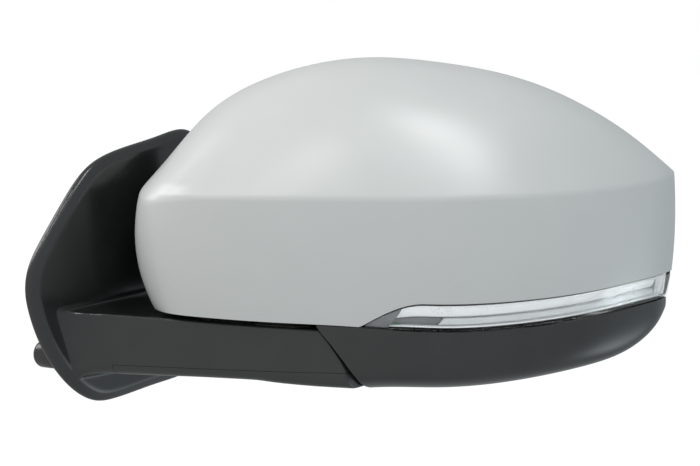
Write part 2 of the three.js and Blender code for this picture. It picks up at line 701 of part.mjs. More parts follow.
function actuatorCase() {
  let made = solid(alongY(disc(ACTUATOR, ACTUATOR_FRONT, 24)))
    .subtract(solid(alongY(disc(ACTUATOR - 2, ACTUATOR_FRONT + 2.2, 30))))
    .add(solid(alongY(disc(4, ACTUATOR_FRONT + 1, 33))))
    .add(solid(moved(disc(1.5, -10.4, 10.4), 0, TILT.y, 0)));
  for (const angle of EARS) {
    const at = [EAR_AT * Math.cos(angle), 0, EAR_AT * Math.sin(angle)];
    made = made.add(solid(moved(alongY(disc(5, ACTUATOR_FRONT, ACTUATOR_FRONT + 2.6)), ...at))
      .subtract(solid(alongY(disc(ACTUATOR - 1, 0, 40)))));
    made = made.subtract(solid(moved(alongY(disc(1.8, 0, 20)), ...at)));
  }
  return atTilt(geometryOf(made));
}
add(head, "actuator_case", actuatorCase(), hidden);

EARS.forEach((angle, i) => {
  const at = [TILT.x + EAR_AT * Math.cos(angle), ACTUATOR_FRONT + 2.9, TILT.z + EAR_AT * Math.sin(angle)];
  add(head, `actuator_screw_${i + 1}`, moved(alongY(screw(8)), ...at), steel);
});

function actuatorCover() {
  const hole = (x, z, radius) => solid(moved(alongY(disc(radius, COVER_AT - 1, COVER_AT + 4)), x, 0, z));
  const made = solid(alongY(disc(ACTUATOR, COVER_AT, COVER_AT + 2)))
    .subtract(hole(0, 0, 16.4)).subtract(hole(JACK, 0, 6.8)).subtract(hole(0, -JACK, 6.8));
  return atTilt(geometryOf(made));
}
add(head, "actuator_cover", actuatorCover(), hidden);

// A motor along +Z with its worm below it.
const jackMotor = () => solid(worm(1, 2.2, 1.8, -4, 4, -6, 7)).add(solid(disc(5.2, 6, 21)));
add(head, "yaw_motor", atTilt(moved(geometryOf(jackMotor()), JACK - WORM_GAP, GEAR_Y, 0)), steel);
const pitchMotor = alongX(geometryOf(jackMotor())).rotateY(Math.PI);
add(head, "pitch_motor", atTilt(moved(pitchMotor, 0, GEAR_Y, WORM_GAP - JACK)), steel);

const jackNut = () => alongY(geometryOf(wheel(14, 5.9, 7, 3.5, GEAR_Y - 3, GEAR_Y + 3)));
const jackPlunger = () => {
  const ball = evenly(-60, 66, 4).map(THREE.MathUtils.degToRad)
    .map((a) => [BALL * Math.cos(a), TILT.y + BALL * Math.sin(a)]);
  return alongY(turned([[0, 10.7], [3.1, 10.7], [3.1, 24], [1.6, 25.5], ...ball, [0, ball.at(-1)[1]]], 10));
};
for (const [name, x, z] of [["yaw", JACK, 0], ["pitch", 0, -JACK]]) {
  add(head, `${name}_nut`, atTilt(moved(jackNut(), x, 0, z)), nylon);
  add(head, `${name}_plunger`, atTilt(moved(jackPlunger(), x, 0, z)), nylon);
}

function cardanRing() {
  const made = solid(moved(alongY(ring(CARDAN, 7, -CARDAN_HALF, CARDAN_HALF)), 0, TILT.y, 0));
  const hole = moved(disc(1.9, -13, 13), 0, TILT.y, 0);
  const across = moved(alongX(disc(1.9, -13, 13)), 0, TILT.y, 0);
  return atTilt(geometryOf(made.subtract(solid(hole)).subtract(solid(across))));
}
add(head, "cardan_ring", cardanRing(), nylon);

// ---------------------------------------------------------------- glass

function glassCarrier() {
  const outline = shrink(GLASS, 4);
  let made = solid(atTilt(box(-62, 120, 34.4, 36.9, -60, 60))).intersect(solid(upright(outline, 34, 38)));
  const hub = solid(alongY(ring(15, 12, TILT.y - 2.2, 35)));
  const pins = solid(moved(alongX(disc(1.5, -12.6, 12.6)), 0, TILT.y, 0))
    .subtract(solid(alongY(disc(7.5, 20, 33.6))));
  const cup = (x, z) => solid(moved(alongY(ring(BALL_CUP + 1.6, BALL_CUP, TILT.y - 2.2, 35)), x, 0, z));
  const fittings = hub.add(pins).add(cup(JACK, 0)).add(cup(0, -JACK));
  made = made.add(solid(atTilt(geometryOf(fittings))));
  return made.subtract(solid(atTilt(alongY(disc(CARDAN + 0.9, 33, 35.8)))));
}
add(head, "glass_carrier", glassCarrier(), hidden);

function heaterPad() {
  return solid(upright(shrink(GLASS, 5), 37.2, 37.7)).intersect(solid(box(8, 200, 36, 39, 0, 140)));
}
add(head, "heater_pad", heaterPad(), board);
add(head, "mirror_glass", upright(GLASS, 38, 40), silvered);

for (const [name, [x, z]] of Object.entries(BEZEL_PILLARS)) {
  add(head, `bezel_screw_${name}`, moved(alongY(screw(8)), x, 50.3, z), steel);
}

// ---------------------------------------------------------------- wiring in the head

function headLoom() {
  const top = new THREE.Vector3(0, 0, 50.5).applyMatrix4(pivotInHead).toArray();
  const rise = new THREE.Vector3(0, 0, 60).applyMatrix4(pivotInHead).toArray();
  const toLamp = [top, rise, [14, -8, 70], [40, -12, 66], [54, -16, 40], [56, -20, 20], [54, -22, 13]];
  const toGlass = [[36, -11.6, 67], [56, -10, 66], [72, -8, 64], [TILT.x, -2, TILT.z], [TILT.x, 3.8, TILT.z]];
  return solid(bar(toLamp, 2.6, 18)).add(solid(bar(toGlass, 2, 12)));
}
add(head, "head_loom", headLoom(), rubber);

// ---------------------------------------------------------------- foot

const FLANGE = smoothLoop([
  [-68.5, -4], [-66.8, -14], [-60, -30], [-49, -45.5], [-36, -57.5], [-22, -64.8], [-8, -66.2],
  [24, -63.2], [50, -60.6], [60, -56.5], [64, -46], [64.5, 0], [64.5, 54], [62, 65], [53, 70.4],
  [30, 67.6], [5, 63], [-16, 57.5], [-29, 50], [-43, 36], [-56.5, 20.5], [-66, 7],
], 36);
const flangeRow = (x, depth) => shrink(FLANGE, depth).map(([y, z]) => new THREE.Vector3(x, y, z));

// Sections of the arm: x, front y, bottom z, how far the root flares there, and how far its top is lifted
// at the front and at the rear.
const ARM = [
  [7, -38.3, -48.4, 15, 3.8, 7.8],
  [9, -37.7, -48.4, 10.5, 1.3, 4.8],
  [12, -36.7, -48.4, 7, 0.3, 2.9],
  [17, -35, -48.5, 3.6, 0, 1.1],
  [24, -32.8, -48.6, 1.2, 0, 0.1],
  [45, -25.6, -48.7, 0, 0, 0],
  [64, -18.7, -48.6, 0, 0, 0],
  [84, -11.6, -48.7, 0, 0, 0],
  [93, -8.2, -48.9, 0, 0, 0],
  [103, -4, -49.9, 0, 0, 0],
  [112, 0.1, -50.6, 0, 0, 0],
  [125, 6.3, -51.3, 0, 0, 0],
  [150, 18.5, -52, 0, 0, 0],
];
const LOW_FLARE = 0.2; // share of the flare that the arm's lower edges take

function armTop(x, y) {
  const p = new THREE.Vector3(x, y, 0).applyMatrix4(doorInHead);
  return HEAD_AT.z + PIVOT_Z - PIVOT_LEAN * (p.x - p.y) - PART_DROP;
}

function armSection([x, front, bottom, flare, liftFront, liftRear], margin) {
  const edge = Math.max(1, ARM_EDGE - margin);
  const belly = Math.max(1, ARM_BELLY - margin);
  const near = (share) => front - flare * share + margin;
  const far = (share) => ARM_REAR[0] + ARM_REAR[1] * x + flare * share - margin;
  const low = bottom - flare * LOW_FLARE + margin;
  const highNear = armTop(x, near(1)) + liftFront - margin;
  const highFar = armTop(x, far(1)) + liftRear - margin;
  const corner = (y, z, radius, from) =>
    evenly(from, from + 90, 2).map(THREE.MathUtils.degToRad)
      .map((a) => new THREE.Vector3(x, y + radius * Math.cos(a), z + radius * Math.sin(a)));
  return [
    ...corner(far(1) - edge, highFar - edge, edge, 0),
    ...corner(near(1) + edge, highNear - edge, edge, 90),
    ...corner(near(LOW_FLARE) + belly, low + belly, belly, 180),
    ...corner(far(LOW_FLARE) - belly, low + belly, belly, 270),
  ];
}

// The arm's body, margin inside its surface, from the plane x = root to the round end under the head.
function armBody(margin, root) {
  const rows = ARM.map((station, i) => armSection(i ? station : [root, ...station.slice(1)], margin));
  const reach = solid(inFoot(roundEnd(-margin))).add(solid(box(-20, HEAD_AT.x, -150, 200, -150, 60)));
  return solid(skin(rows)).intersect(reach);
}

const footShell = () => {
  const profile = [[RIM, 2.2], [3, 0.1], [5.6, 0.2], [7.2, 1.3], [FLANGE_FACE, 3.4]];
  const flange = solid(skin(profile.map(([x, depth]) => flangeRow(x, depth))));
  const hollow = [[0, SEAL[0] - GAP], [3, WALL], [FLANGE_FACE - WALL, WALL + 0.3]];
  const room = solid(skin(hollow.map(([x, depth]) => flangeRow(x, depth))));
  return flange.add(armBody(0, 7)).subtract(room.add(armBody(WALL, 4.5)));
};
const underSeam = (gap) => solid(box(SEAM_FROM + gap, 200, -100, 150, -100, SEAM_Z - gap));

function baseCover() {
  const hole = solid(inFoot(disc(POST_HOLE, -8, 6)));
  return footShell().subtract(underSeam(0)).subtract(hole);
}
add(mirror, "base_cover", baseCover(), trim);

const armLowerCover = () => armBody(0, 7).subtract(armBody(WALL, 4.5)).intersect(underSeam(GAP));
add(mirror, "arm_lower_cover", armLowerCover(), trim);

function baseBracket() {
  const plate = solid(skin([flangeRow(0, PLATE_INSET), flangeRow(PLATE, PLATE_INSET)]));
  const channel = armBody(8, 0).add(armBody(8, 0).translate([0, 0, -8]))
    .subtract(solid(box(-10, PLATE, -100, 100, -100, 100)));
  const arm = armBody(5.6, 2.8).subtract(channel)
    .subtract(solid(box(PLATE, 200, -100, 150, -100, SEAM_Z + 1)));
  const boss = solid(inFoot(disc(POST_HOLE - 1, -16, -3.4)));
  let made = plate.add(arm).add(boss).subtract(solid(inFoot(disc(POST + 0.3, -40, 0))));
  for (const [at, radius] of [...Object.values(STUDS).map((at) => [at, 3.3]), [PEG, PEG_NECK + 0.3]]) {
    made = made.subtract(solid(moved(alongX(disc(radius, -2, 8)), 0, ...at)));
  }
  const [y, z] = [SOCKET.y, SOCKET.z];
  return made.subtract(solid(box(-2, PLATE + 1, y[0] - GAP, y[1] + GAP, z[0] - GAP, z[1] + GAP)));
}
add(mirror, "base_bracket", baseBracket(), cast);

function baseGasket() {
  const whole = solid(skin([flangeRow(0, SEAL[0]), flangeRow(2.4, SEAL[0])]));
  return whole.subtract(solid(skin([flangeRow(-1, SEAL[1]), flangeRow(4, SEAL[1])])));
}
add(mirror, "base_gasket", baseGasket(), rubber);

for (const [name, at] of Object.entries(STUDS)) {
  const stud = turned([
    [0, -STUD_OUT], [2.4, -STUD_OUT], [3, -STUD_OUT + 1], [3, PLATE + 0.2],
    [5.5, PLATE + 0.2], [5.5, PLATE + 1.8], [0, PLATE + 1.8],
  ], 12);
  add(mirror, `mounting_stud_${name}`, moved(alongX(stud), 0, ...at), steel);
}
add(mirror, "locating_peg", moved(alongX(turned([
  [0, -14.5], [5.6, -14.5], [7, -12.5], [7, -0.3], [PEG_NECK, -0.3], [PEG_NECK, PLATE], [0, PLATE],
], 14)), 0, ...PEG), trim);

function connectorSocket() {
  const [y0, y1] = SOCKET.y;
  const [z0, z1] = SOCKET.z;
  let made = solid(box(-14, PLATE, y0, y1, z0, z1))
    .subtract(solid(box(-15, -4, y0 + 1.6, y1 - 1.6, z0 + 1.6, z1 - 1.6)));
  for (const y of evenly(y0 + 5, y1 - 5, 4)) {
    for (const z of [-37.5, -32.5]) made = made.add(solid(box(-11, -3, y - 0.5, y + 0.5, z - 0.5, z + 0.5)));
  }
  return made;
}
add(mirror, "connector_socket", connectorSocket(), hidden);

function footLoom() {
  const footFromPivot = new THREE.Matrix4().multiplyMatrices(head.matrixWorld, pivotInHead);
  const onAxis = [-17, -8, 20, 50]
    .map((w) => new THREE.Vector3(0, 0, w).applyMatrix4(footFromPivot).toArray());
  const alongArm = [
    [PLATE + 0.6, -10, -35], [PLATE + 8, -10, -35], [28, -5, -37], [60, 7, -39], [82, 16, -40],
  ];
  return bar([...alongArm, ...onAxis], 2.6, 24);
}
add(mirror, "foot_loom", footLoom(), rubber);

export default mirror;
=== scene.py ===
"""Looks of a left-hand car side mirror: painted cap, turn signal, folding head, sail foot, heated glass.

Shapes are worked out in millimetres in the head's own frame (x along the head, y to its rear, z up) or in the
row frame, and turned into metres in the row frame when they become meshes.
"""

import json
import math

import bmesh
import bpy
import numpy as np
from mathutils import Matrix, Vector


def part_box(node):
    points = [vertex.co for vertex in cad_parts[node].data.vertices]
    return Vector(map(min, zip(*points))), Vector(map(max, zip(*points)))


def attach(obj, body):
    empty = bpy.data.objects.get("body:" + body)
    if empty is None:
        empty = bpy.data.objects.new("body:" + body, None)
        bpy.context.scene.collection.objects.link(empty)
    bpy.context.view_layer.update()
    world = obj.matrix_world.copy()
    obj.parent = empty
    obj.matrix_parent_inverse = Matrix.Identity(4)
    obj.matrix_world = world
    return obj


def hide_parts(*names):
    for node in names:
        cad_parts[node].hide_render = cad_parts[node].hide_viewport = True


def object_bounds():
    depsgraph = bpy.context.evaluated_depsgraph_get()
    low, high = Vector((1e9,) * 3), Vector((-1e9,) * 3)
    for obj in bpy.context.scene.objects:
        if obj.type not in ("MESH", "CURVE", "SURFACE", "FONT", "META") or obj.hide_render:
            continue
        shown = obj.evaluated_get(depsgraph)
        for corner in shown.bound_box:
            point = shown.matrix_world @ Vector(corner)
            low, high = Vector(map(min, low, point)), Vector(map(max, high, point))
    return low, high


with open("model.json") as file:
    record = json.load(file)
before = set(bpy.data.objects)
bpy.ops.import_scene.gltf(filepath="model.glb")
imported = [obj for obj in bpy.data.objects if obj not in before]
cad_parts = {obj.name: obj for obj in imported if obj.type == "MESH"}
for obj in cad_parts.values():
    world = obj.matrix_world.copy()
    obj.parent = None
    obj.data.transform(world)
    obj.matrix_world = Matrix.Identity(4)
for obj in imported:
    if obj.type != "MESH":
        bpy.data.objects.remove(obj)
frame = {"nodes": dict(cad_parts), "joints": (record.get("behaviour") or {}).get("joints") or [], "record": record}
cad_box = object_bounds()
JOINTS = {j["name"]: j for j in frame["joints"]}
MM = 0.001

# ------------------------------------------------------------------ frames

TILT_MM = np.array([78.0, 31.0, 64.0])  # centre of the glass's joint in the head frame
PIVOT_Z = 6.0  # height in the head frame of the plane that parts head and foot
PIVOT_LEAN = 0.035  # slope of that plane
PART_DROP = 0.9  # top of the foot's arm under it


def frame_matrix(origin, x_axis=None, z_axis=(0, 0, 1), y_axis=None):
    """A 4x4 numpy matrix, in metres, from an origin and two axes."""
    z = Vector(z_axis).normalized()
    x = Vector(x_axis).normalized() if x_axis is not None else Vector(y_axis).cross(z).normalized()
    y = z.cross(x)
    made = np.eye(4)
    made[:3, 0], made[:3, 1], made[:3, 2], made[:3, 3] = x, y, z, origin
    return made


HEAD = frame_matrix((0, 0, 0), x_axis=JOINTS["glass_pitch"]["axis"])
HEAD[:3, 3] = np.array(JOINTS["glass_yaw"]["pos_m"]) - HEAD[:3, :3] @ (TILT_MM * MM)
PIVOT = frame_matrix(
    JOINTS["head_fold"]["pos_m"],
    z_axis=JOINTS["head_fold"]["axis"],
    y_axis=JOINTS["fold_worm_spin"]["axis"],
)


def to_row(points, matrix):
    """Points in millimetres in a frame, as points in metres in the row frame."""
    return np.asarray(points, float) * MM @ matrix[:3, :3].T + matrix[:3, 3]


def from_row(points, matrix):
    """Points in millimetres in the row frame, as points in millimetres in a frame."""
    return (np.asarray(points, float) - matrix[:3, 3] / MM) @ matrix[:3, :3]


ROW = np.eye(4)

# ------------------------------------------------------------------ mesh building


def new_object(name, points, faces, matrix=ROW, sharp=32):
    """A mesh object from points in millimetres, smooth apart from edges over sharp degrees, facing out."""
    mesh = bpy.data.meshes.new(name)
    mesh.from_pydata(to_row(points, matrix).tolist(), [], [list(map(int, f)) for f in faces])
    made = bpy.data.objects.new(name, mesh)
    bpy.context.collection.objects.link(made)
    tidy(made, sharp)
    return made


def tidy(obj, sharp=32):
    """Merges doubled points, turns the faces outwards and shades them."""
    made = bmesh.new()
    made.from_mesh(obj.data)
    bmesh.ops.remove_doubles(made, verts=made.verts, dist=1e-6)
    bmesh.ops.dissolve_degenerate(made, edges=made.edges, dist=1e-7)
    bmesh.ops.recalc_face_normals(made, faces=made.faces)
    made.to_mesh(obj.data)
    made.free()
    shade(obj, sharp)


def shade(obj, sharp=32):
    obj.data.shade_smooth()
    if sharp:
        obj.data.set_sharp_from_angle(angle=math.radians(sharp))


def grid_faces(rows, cols, start=0, wrap=False):
    """Quads over a grid of points laid out row by row."""
    faces = []
    for row in range(start, start + (rows - 1) * cols, cols):
        for col in range(cols if wrap else cols - 1):
            ahead = (col + 1) % cols
            faces.append((row + col, row + ahead, row + cols + ahead, row + cols + col))
    return faces


def panel(name, outer, inner, matrix, sharp=32):
    """A sheet with thickness between two grids of points that match one to one."""
    rows, cols = outer.shape[:2]
    count = rows * cols
    faces = grid_faces(rows, cols) + [f[::-1] for f in grid_faces(rows, cols, count)]
    rim = [(0, c) for c in range(cols - 1)] + [(r, cols - 1) for r in range(rows - 1)]
    rim += [(rows - 1, c) for c in range(cols - 1, 0, -1)] + [(r, 0) for r in range(rows - 1, 0, -1)]
    rim = [r * cols + c for r, c in rim]
    faces += [(a, count + a, count + b, b) for a, b in zip(rim, rim[1:] + rim[:1])]
    points = np.concatenate([outer.reshape(-1, 3), inner.reshape(-1, 3)])
    return new_object(name, points, faces, matrix, sharp)


def loft(name, rows, matrix, closed_ring=False, sharp=32):
    """A closed surface over rows of points that each wrap; either a ring or capped at both ends."""
    rows = np.asarray(rows, float)
    count, sides = rows.shape[:2]
    points = rows.reshape(-1, 3)
    faces = grid_faces(count, sides, wrap=True)
    if closed_ring:
        last = (count - 1) * sides
        faces += [(last + c, last + (c + 1) % sides, (c + 1) % sides, c) for c in range(sides)]
    else:
        middles = [rows[0].mean(0), rows[-1].mean(0)]
        points = np.concatenate([points, middles])
        hub = count * sides
        faces += [(hub, (c + 1) % sides, c) for c in range(sides)]
        last = (count - 1) * sides
        faces += [(hub + 1, last + c, last + (c + 1) % sides) for c in range(sides)]
    return new_object(name, points, faces, matrix, sharp)


def lathe(name, profile, matrix, sides=48, sharp=32):
    """A turned solid: profile is a list of (radius, z) from the axis to the axis, or a closed ring."""
    angles = np.linspace(0, 2 * math.pi, sides, endpoint=False)
    profile = np.asarray(profile, float)
    rows = np.stack(
        [
            profile[:, None, 0] * np.cos(angles),
            profile[:, None, 0] * np.sin(angles),
            np.repeat(profile[:, None, 1], sides, 1),
        ],
        -1,
    )
    ring = profile[0, 0] > 1e-6
    return loft(name, rows, matrix, closed_ring=ring, sharp=sharp)


def cut(obj, tool, operation="DIFFERENCE"):
    """Joins, cuts or keeps the overlap of obj with tool, which is used up."""
    mod = obj.modifiers.new("cut", "BOOLEAN")
    mod.operation = operation
    mod.solver = "EXACT"
    mod.object = tool
    apply_modifiers(obj)
    bpy.data.objects.remove(tool)
    return obj


def apply_modifiers(obj):
    """Makes the modifiers' result the object's own mesh."""
    graph = bpy.context.evaluated_depsgraph_get()
    graph.update()
    mesh = bpy.data.meshes.new_from_object(obj.evaluated_get(graph))
    obj.modifiers.clear()
    old, obj.data = obj.data, mesh
    bpy.data.meshes.remove(old)


def soften_edges(obj, width, angle=40, segments=2):
    """Rounds an object's sharp edges by width millimetres."""
    mod = obj.modifiers.new("edges", "BEVEL")
    mod.width = width * MM
    mod.segments = segments
    mod.limit_method = "ANGLE"
    mod.angle_limit = math.radians(angle)
    mod.harden_normals = True


def solid_box(low, high, matrix=ROW):
    points = [(x, y, z) for x in (low[0], high[0]) for y in (low[1], high[1]) for z in (low[2], high[2])]
    faces = [(0, 1, 3, 2), (4, 6, 7, 5), (0, 4, 5, 1), (2, 3, 7, 6), (0, 2, 6, 4), (1, 5, 7, 3)]
    return new_object("tool", points, faces, matrix)


# ------------------------------------------------------------------ curves


def natural_spline(knots, values, at):
    """A natural cubic spline through values at knots, evaluated at the given places."""
    knots, values = np.asarray(knots, float), np.asarray(values, float)
    n = len(knots)
    h = np.diff(knots)
    system = np.eye(n)
    right = np.zeros_like(values)
    for i in range(1, n - 1):
        system[i, i - 1 : i + 2] = h[i - 1], 2 * (h[i - 1] + h[i]), h[i]
        right[i] = 6 * ((values[i + 1] - values[i]) / h[i] - (values[i] - values[i - 1]) / h[i - 1])
    bend = np.linalg.solve(system, right)
    at = np.asarray(at, float)
    i = np.clip(np.searchsorted(knots, at, side="right") - 1, 0, n - 2)
    shape = (slice(None),) + (None,) * (values.ndim - 1)
    width = h[i][shape]
    a = (knots[i + 1] - at)[shape] / width
    b = (at - knots[i])[shape] / width
    return (
        a * values[i]
        + b * values[i + 1]
        + ((a**3 - a) * bend[i] + (b**3 - b) * bend[i + 1]) * width**2 / 6
    )


def monotone(knots, values, at):
    """A smooth curve through values that never overshoots them."""
    step, slope = np.diff(knots), np.diff(values) / np.diff(knots)
    before, after = slope[:-1], slope[1:]
    inner_slope = np.where(before * after > 0, 2 * before * after / (before + after + 1e-12), 0)
    tangent = np.concatenate([slope[:1], inner_slope, slope[-1:]])
    i = np.clip(np.searchsorted(knots, at, side="right") - 1, 0, len(knots) - 2)
    t = (at - knots[i]) / step[i]
    return (
        values[i] * (1 + 2 * t) * (1 - t) ** 2
        + tangent[i] * step[i] * t * (1 - t) ** 2
        + values[i + 1] * t * t * (3 - 2 * t)
        + tangent[i + 1] * step[i] * t * t * (t - 1)
    )


def even_points(line, count, closed=False):
    """count evenly spaced points along a polyline; on a closed one the end isn't repeated."""
    along = np.concatenate([[0], np.cumsum(np.linalg.norm(np.diff(line, axis=0), axis=1))])
    places = np.linspace(0, along[-1], count, endpoint=not closed)
    return np.stack([np.interp(places, along, line[:, k]) for k in range(line.shape[1])], -1)


def closed_spline(corners, count):
    """An even, smooth closed line through corners."""
    corners = np.asarray(corners, float)
    wrapped = np.concatenate([corners[-4:], corners, corners[:5]])
    reach = np.concatenate([[0], np.cumsum(np.linalg.norm(np.diff(wrapped, axis=0), axis=1) ** 0.6)])
    places = np.linspace(reach[4], reach[4 + len(corners)], count * 12 + 1)
    return even_points(natural_spline(reach, wrapped, places), count, closed=True)


def shrink(points, depth):
    """An anticlockwise closed outline moved inwards by depth."""
    ahead = np.roll(points, -1, 0) - points
    behind = points - np.roll(points, 1, 0)
    left = lambda v: np.stack([-v[:, 1], v[:, 0]], -1) / np.linalg.norm(v, axis=1)[:, None]
    a, b = left(behind), left(ahead)
    return points + (a + b) * depth / (1 + (a * b).sum(1))[:, None]


def smoothstep(x, low, high):
    t = np.clip((np.asarray(x, float) - low) / (high - low), 0, 1)
    return t * t * (3 - 2 * t)


# ------------------------------------------------------------------ the head's outer form

# Crease, bottom edge and rear edge of the painted cap at each station, from the inboard end to the tip.
STATIONS = np.array([
    [[-72.4, 16, 64], [-63, 20, 11], [-72.4, 18, 67.5]],
    [[-72, -1, 65], [-65.4, 5, 10.4], [-70.5, 26, 71]],
    [[-63, -16, 66.5], [-58.6, -9, 9.4], [-62, 40, 81.5]],
    [[-41, -26, 67.5], [-39.5, -19, 8.3], [-44, 48, 103]],
    [[-6, -33, 67.5], [-6, -27, 6.9], [-10, 48, 124]],
    [[33, -37.5, 67.5], [33, -32, 5.5], [33, 48, 134]],
    [[75, -38.5, 67.5], [75, -33, 3], [75, 48, 132.5]],
    [[114, -33, 68.5], [112, -27, 4], [112, 48, 126]],
    [[150, -17.5, 70], [148, -11, 7], [146, 48, 113.5]],
    [[176, 3, 72], [174, 10, 10], [174, 48, 97]],
    [[191, 23, 73.5], [189, 27, 11.3], [190, 48, 84.5]],
    [[200.2, 46, 73.6], [197.3, 45, 11.5], [200, 48, 76]],
], float)
LAST = len(STATIONS) - 1
REACH = np.concatenate([[0], np.cumsum(np.linalg.norm(np.diff(STATIONS[:, 0], axis=0), axis=1))])
WALL = 2.5  # thickness of the moulded shells


def rail(values, s):
    """A smooth curve through values given at the stations; s counts stations."""
    return natural_spline(REACH, values, np.interp(s, np.arange(LAST + 1), REACH))


def cubic(a, b, c, d, t):
    return a * (1 - t) ** 3 + b * 3 * t * (1 - t) ** 2 + c * 3 * t * t * (1 - t) + d * t**3


def band(s, t):
    """The upright band under the crease; t runs from the bottom edge up to the crease."""
    s, t = np.asarray(s, float), np.asarray(t, float)[..., None]
    low, high = rail(STATIONS[:, 1], s), rail(STATIONS[:, 0], s)
    part = lambda x, y, z: low + (high - low) * np.array([x, y, z])
    return cubic(low, part(1.3, 0.8, 0.33), part(1.45, 1, 0.65), high, t)


def dome(s, t):
    """The dome over the crease; t runs from the crease to the rear edge."""
    s, t = np.asarray(s, float), np.asarray(t, float)[..., None]
    low, high = rail(STATIONS[:, 0], s), rail(STATIONS[:, 2], s)
    part = lambda x, y, z: low + (high - low) * np.array([x, y, z])
    return cubic(low, part(0.12, 0.22, 0.5), part(0.6, 0.5, 0.99), high, t)


def normals(grid):
    """Unit normals of a grid of points, pointing into the head."""
    along = np.gradient(grid, axis=0)
    across = np.gradient(grid, axis=1)
    made = np.cross(across, along)
    return made / np.linalg.norm(made, axis=-1)[..., None]


# ------------------------------------------------------------------ materials


class Nodes:
    """A small helper for building one node tree."""

    def __init__(self, tree):
        self.tree = tree

    def add(self, kind, inputs=None, **settings):
        node = self.tree.nodes.new(kind)
        for key, value in settings.items():
            setattr(node, key, value)
        for key, value in (inputs or {}).items():
            if isinstance(value, bpy.types.NodeSocket):
                self.tree.links.new(value, node.inputs[key])
            else:
                node.inputs[key].default_value = value
        return node

    def math(self, operation, *values):
        """The result of a maths operation on values."""
        return self.add("ShaderNodeMath", dict(enumerate(values)), operation=operation).outputs[0]

    def dot(self, direction, axis):
        node = self.add("ShaderNodeVectorMath", {0: direction, 1: axis}, operation="DOT_PRODUCT")
        return node.outputs["Value"]

    def bump(self, height, strength, distance, **more):
        """A relief of a height field, distance millimetres high; more can name the normal under it."""
        inputs = {"Height": height, "Strength": strength, "Distance": distance * MM, **more}
        return self.add("ShaderNodeBump", inputs).outputs[0]

    def noise(self, where, scale, detail=3.0, roughness=0.55):
        """A noise field over position, with scale in features per metre."""
        node = self.add(
            "ShaderNodeTexNoise",
            {"Vector": where, "Scale": scale, "Detail": detail, "Roughness": roughness},
        )
        return node.outputs["Fac"]

    def between(self, value, low, high):
        """value, which runs from 0.3 to 0.7 for noise, stretched to low..high."""
        node = self.add(
            "ShaderNodeMapRange",
            {"Value": value, "From Min": 0.3, "From Max": 0.7, "To Min": low, "To Max": high},
        )
        return node.outputs["Result"]


PAINT_WAVES = 140  # the broad unevenness of paint, in features per metre
PAINT_STRENGTH = 0.4


def surface(name, colour, rough, metallic=0.0, tone=0.06, patches=60, grain=900, bump=0.1, depth=0.05,
            wobble=0.0, clear=0.0, alpha=1.0, ior=1.5, specular=0.5):
    """A moulded, painted, cast or turned surface.

    colour varies by the share tone in patches per metre; roughness varies over rough = (low, high); grain is
    the fine texture's features per metre, bump its strength and depth its height in millimetres; wobble is
    the height in millimetres of the broad unevenness of paint; clear is the share that light passes through
    bent, and 1 - alpha the share that it passes through straight.
    """
    material = bpy.data.materials.new(name)
    material.use_nodes = True
    nodes = Nodes(material.node_tree)
    shader = material.node_tree.nodes["Principled BSDF"]
    place = nodes.add("ShaderNodeTexCoord").outputs["Object"]
    broad = nodes.noise(place, patches)
    fine = nodes.noise(place, grain, 4.0, 0.6)
    dark = [c * (1 - tone) for c in colour]
    light = [min(1.0, c * (1 + tone)) for c in colour]
    ramp = nodes.add("ShaderNodeValToRGB", {"Fac": broad})
    ramp.color_ramp.elements[0].position, ramp.color_ramp.elements[1].position = 0.3, 0.7
    ramp.color_ramp.elements[0].color = (*dark, 1)
    ramp.color_ramp.elements[1].color = (*light, 1)
    mixed = nodes.math("MULTIPLY", nodes.math("ADD", broad, fine), 0.5)
    relief = nodes.bump(fine, bump, depth)
    if wobble:
        relief = nodes.bump(nodes.noise(place, PAINT_WAVES, 2.0), PAINT_STRENGTH, wobble, Normal=relief)
    for key, value in {
        "Base Color": ramp.outputs["Color"],
        "Roughness": nodes.between(mixed, *rough),
        "Normal": relief,
    }.items():
        material.node_tree.links.new(value, shader.inputs[key])
    shader.inputs["Metallic"].default_value = metallic
    shader.inputs["Alpha"].default_value = alpha
    shader.inputs["Transmission Weight"].default_value = clear
    shader.inputs["IOR"].default_value = ior
    shader.inputs["Specular IOR Level"].default_value = specular
    return material


primer = surface("primer_silver", (0.485, 0.494, 0.487), (0.29, 0.36), tone=0.012, patches=40, grain=2600,
                 bump=0.12, depth=0.02, wobble=0.02, specular=0.6)
plastic = surface("plastic_black", (0.014, 0.0145, 0.0145), (0.17, 0.26), tone=0.12, patches=50, grain=2400,
                  bump=0.25, depth=0.05, specular=0.5)
inner = surface("plastic_inner", (0.02, 0.02, 0.021), (0.55, 0.7), tone=0.15, grain=1500, bump=0.3,
                depth=0.06)
rubber = surface("rubber_seal", (0.018, 0.018, 0.018), (0.75, 0.92), tone=0.2, grain=1800, bump=0.5,
                 depth=0.15)
cast = surface("cast_aluminium", (0.5, 0.51, 0.52), (0.38, 0.6), metallic=0.9, tone=0.12, patches=90,
               grain=1300, bump=0.5, depth=0.15)
steel = surface("zinc_steel", (0.62, 0.63, 0.64), (0.24, 0.42), metallic=1.0, tone=0.08, patches=160,
                grain=1600, bump=0.15, depth=0.03)
nylon = surface("nylon_natural", (0.72, 0.68, 0.57), (0.4, 0.55), tone=0.05, grain=1200, bump=0.15)
brass = surface("brass_turned", (0.62, 0.45, 0.18), (0.22, 0.38), metallic=1.0, tone=0.08, grain=1600,
                bump=0.15)
board = surface("circuit_board", (0.03, 0.16, 0.07), (0.35, 0.5), tone=0.3, patches=260, grain=900, bump=0.3)
shade_grey = surface("lamp_mask_grey", (0.19, 0.195, 0.2), (0.3, 0.45), tone=0.1, grain=1100, bump=0.15,
                     depth=0.03)
chromed = surface("lamp_metallised", (0.94, 0.95, 0.955), (0.25, 0.36), metallic=0.15, tone=0.02,
                  grain=1100, bump=0.1, depth=0.02)
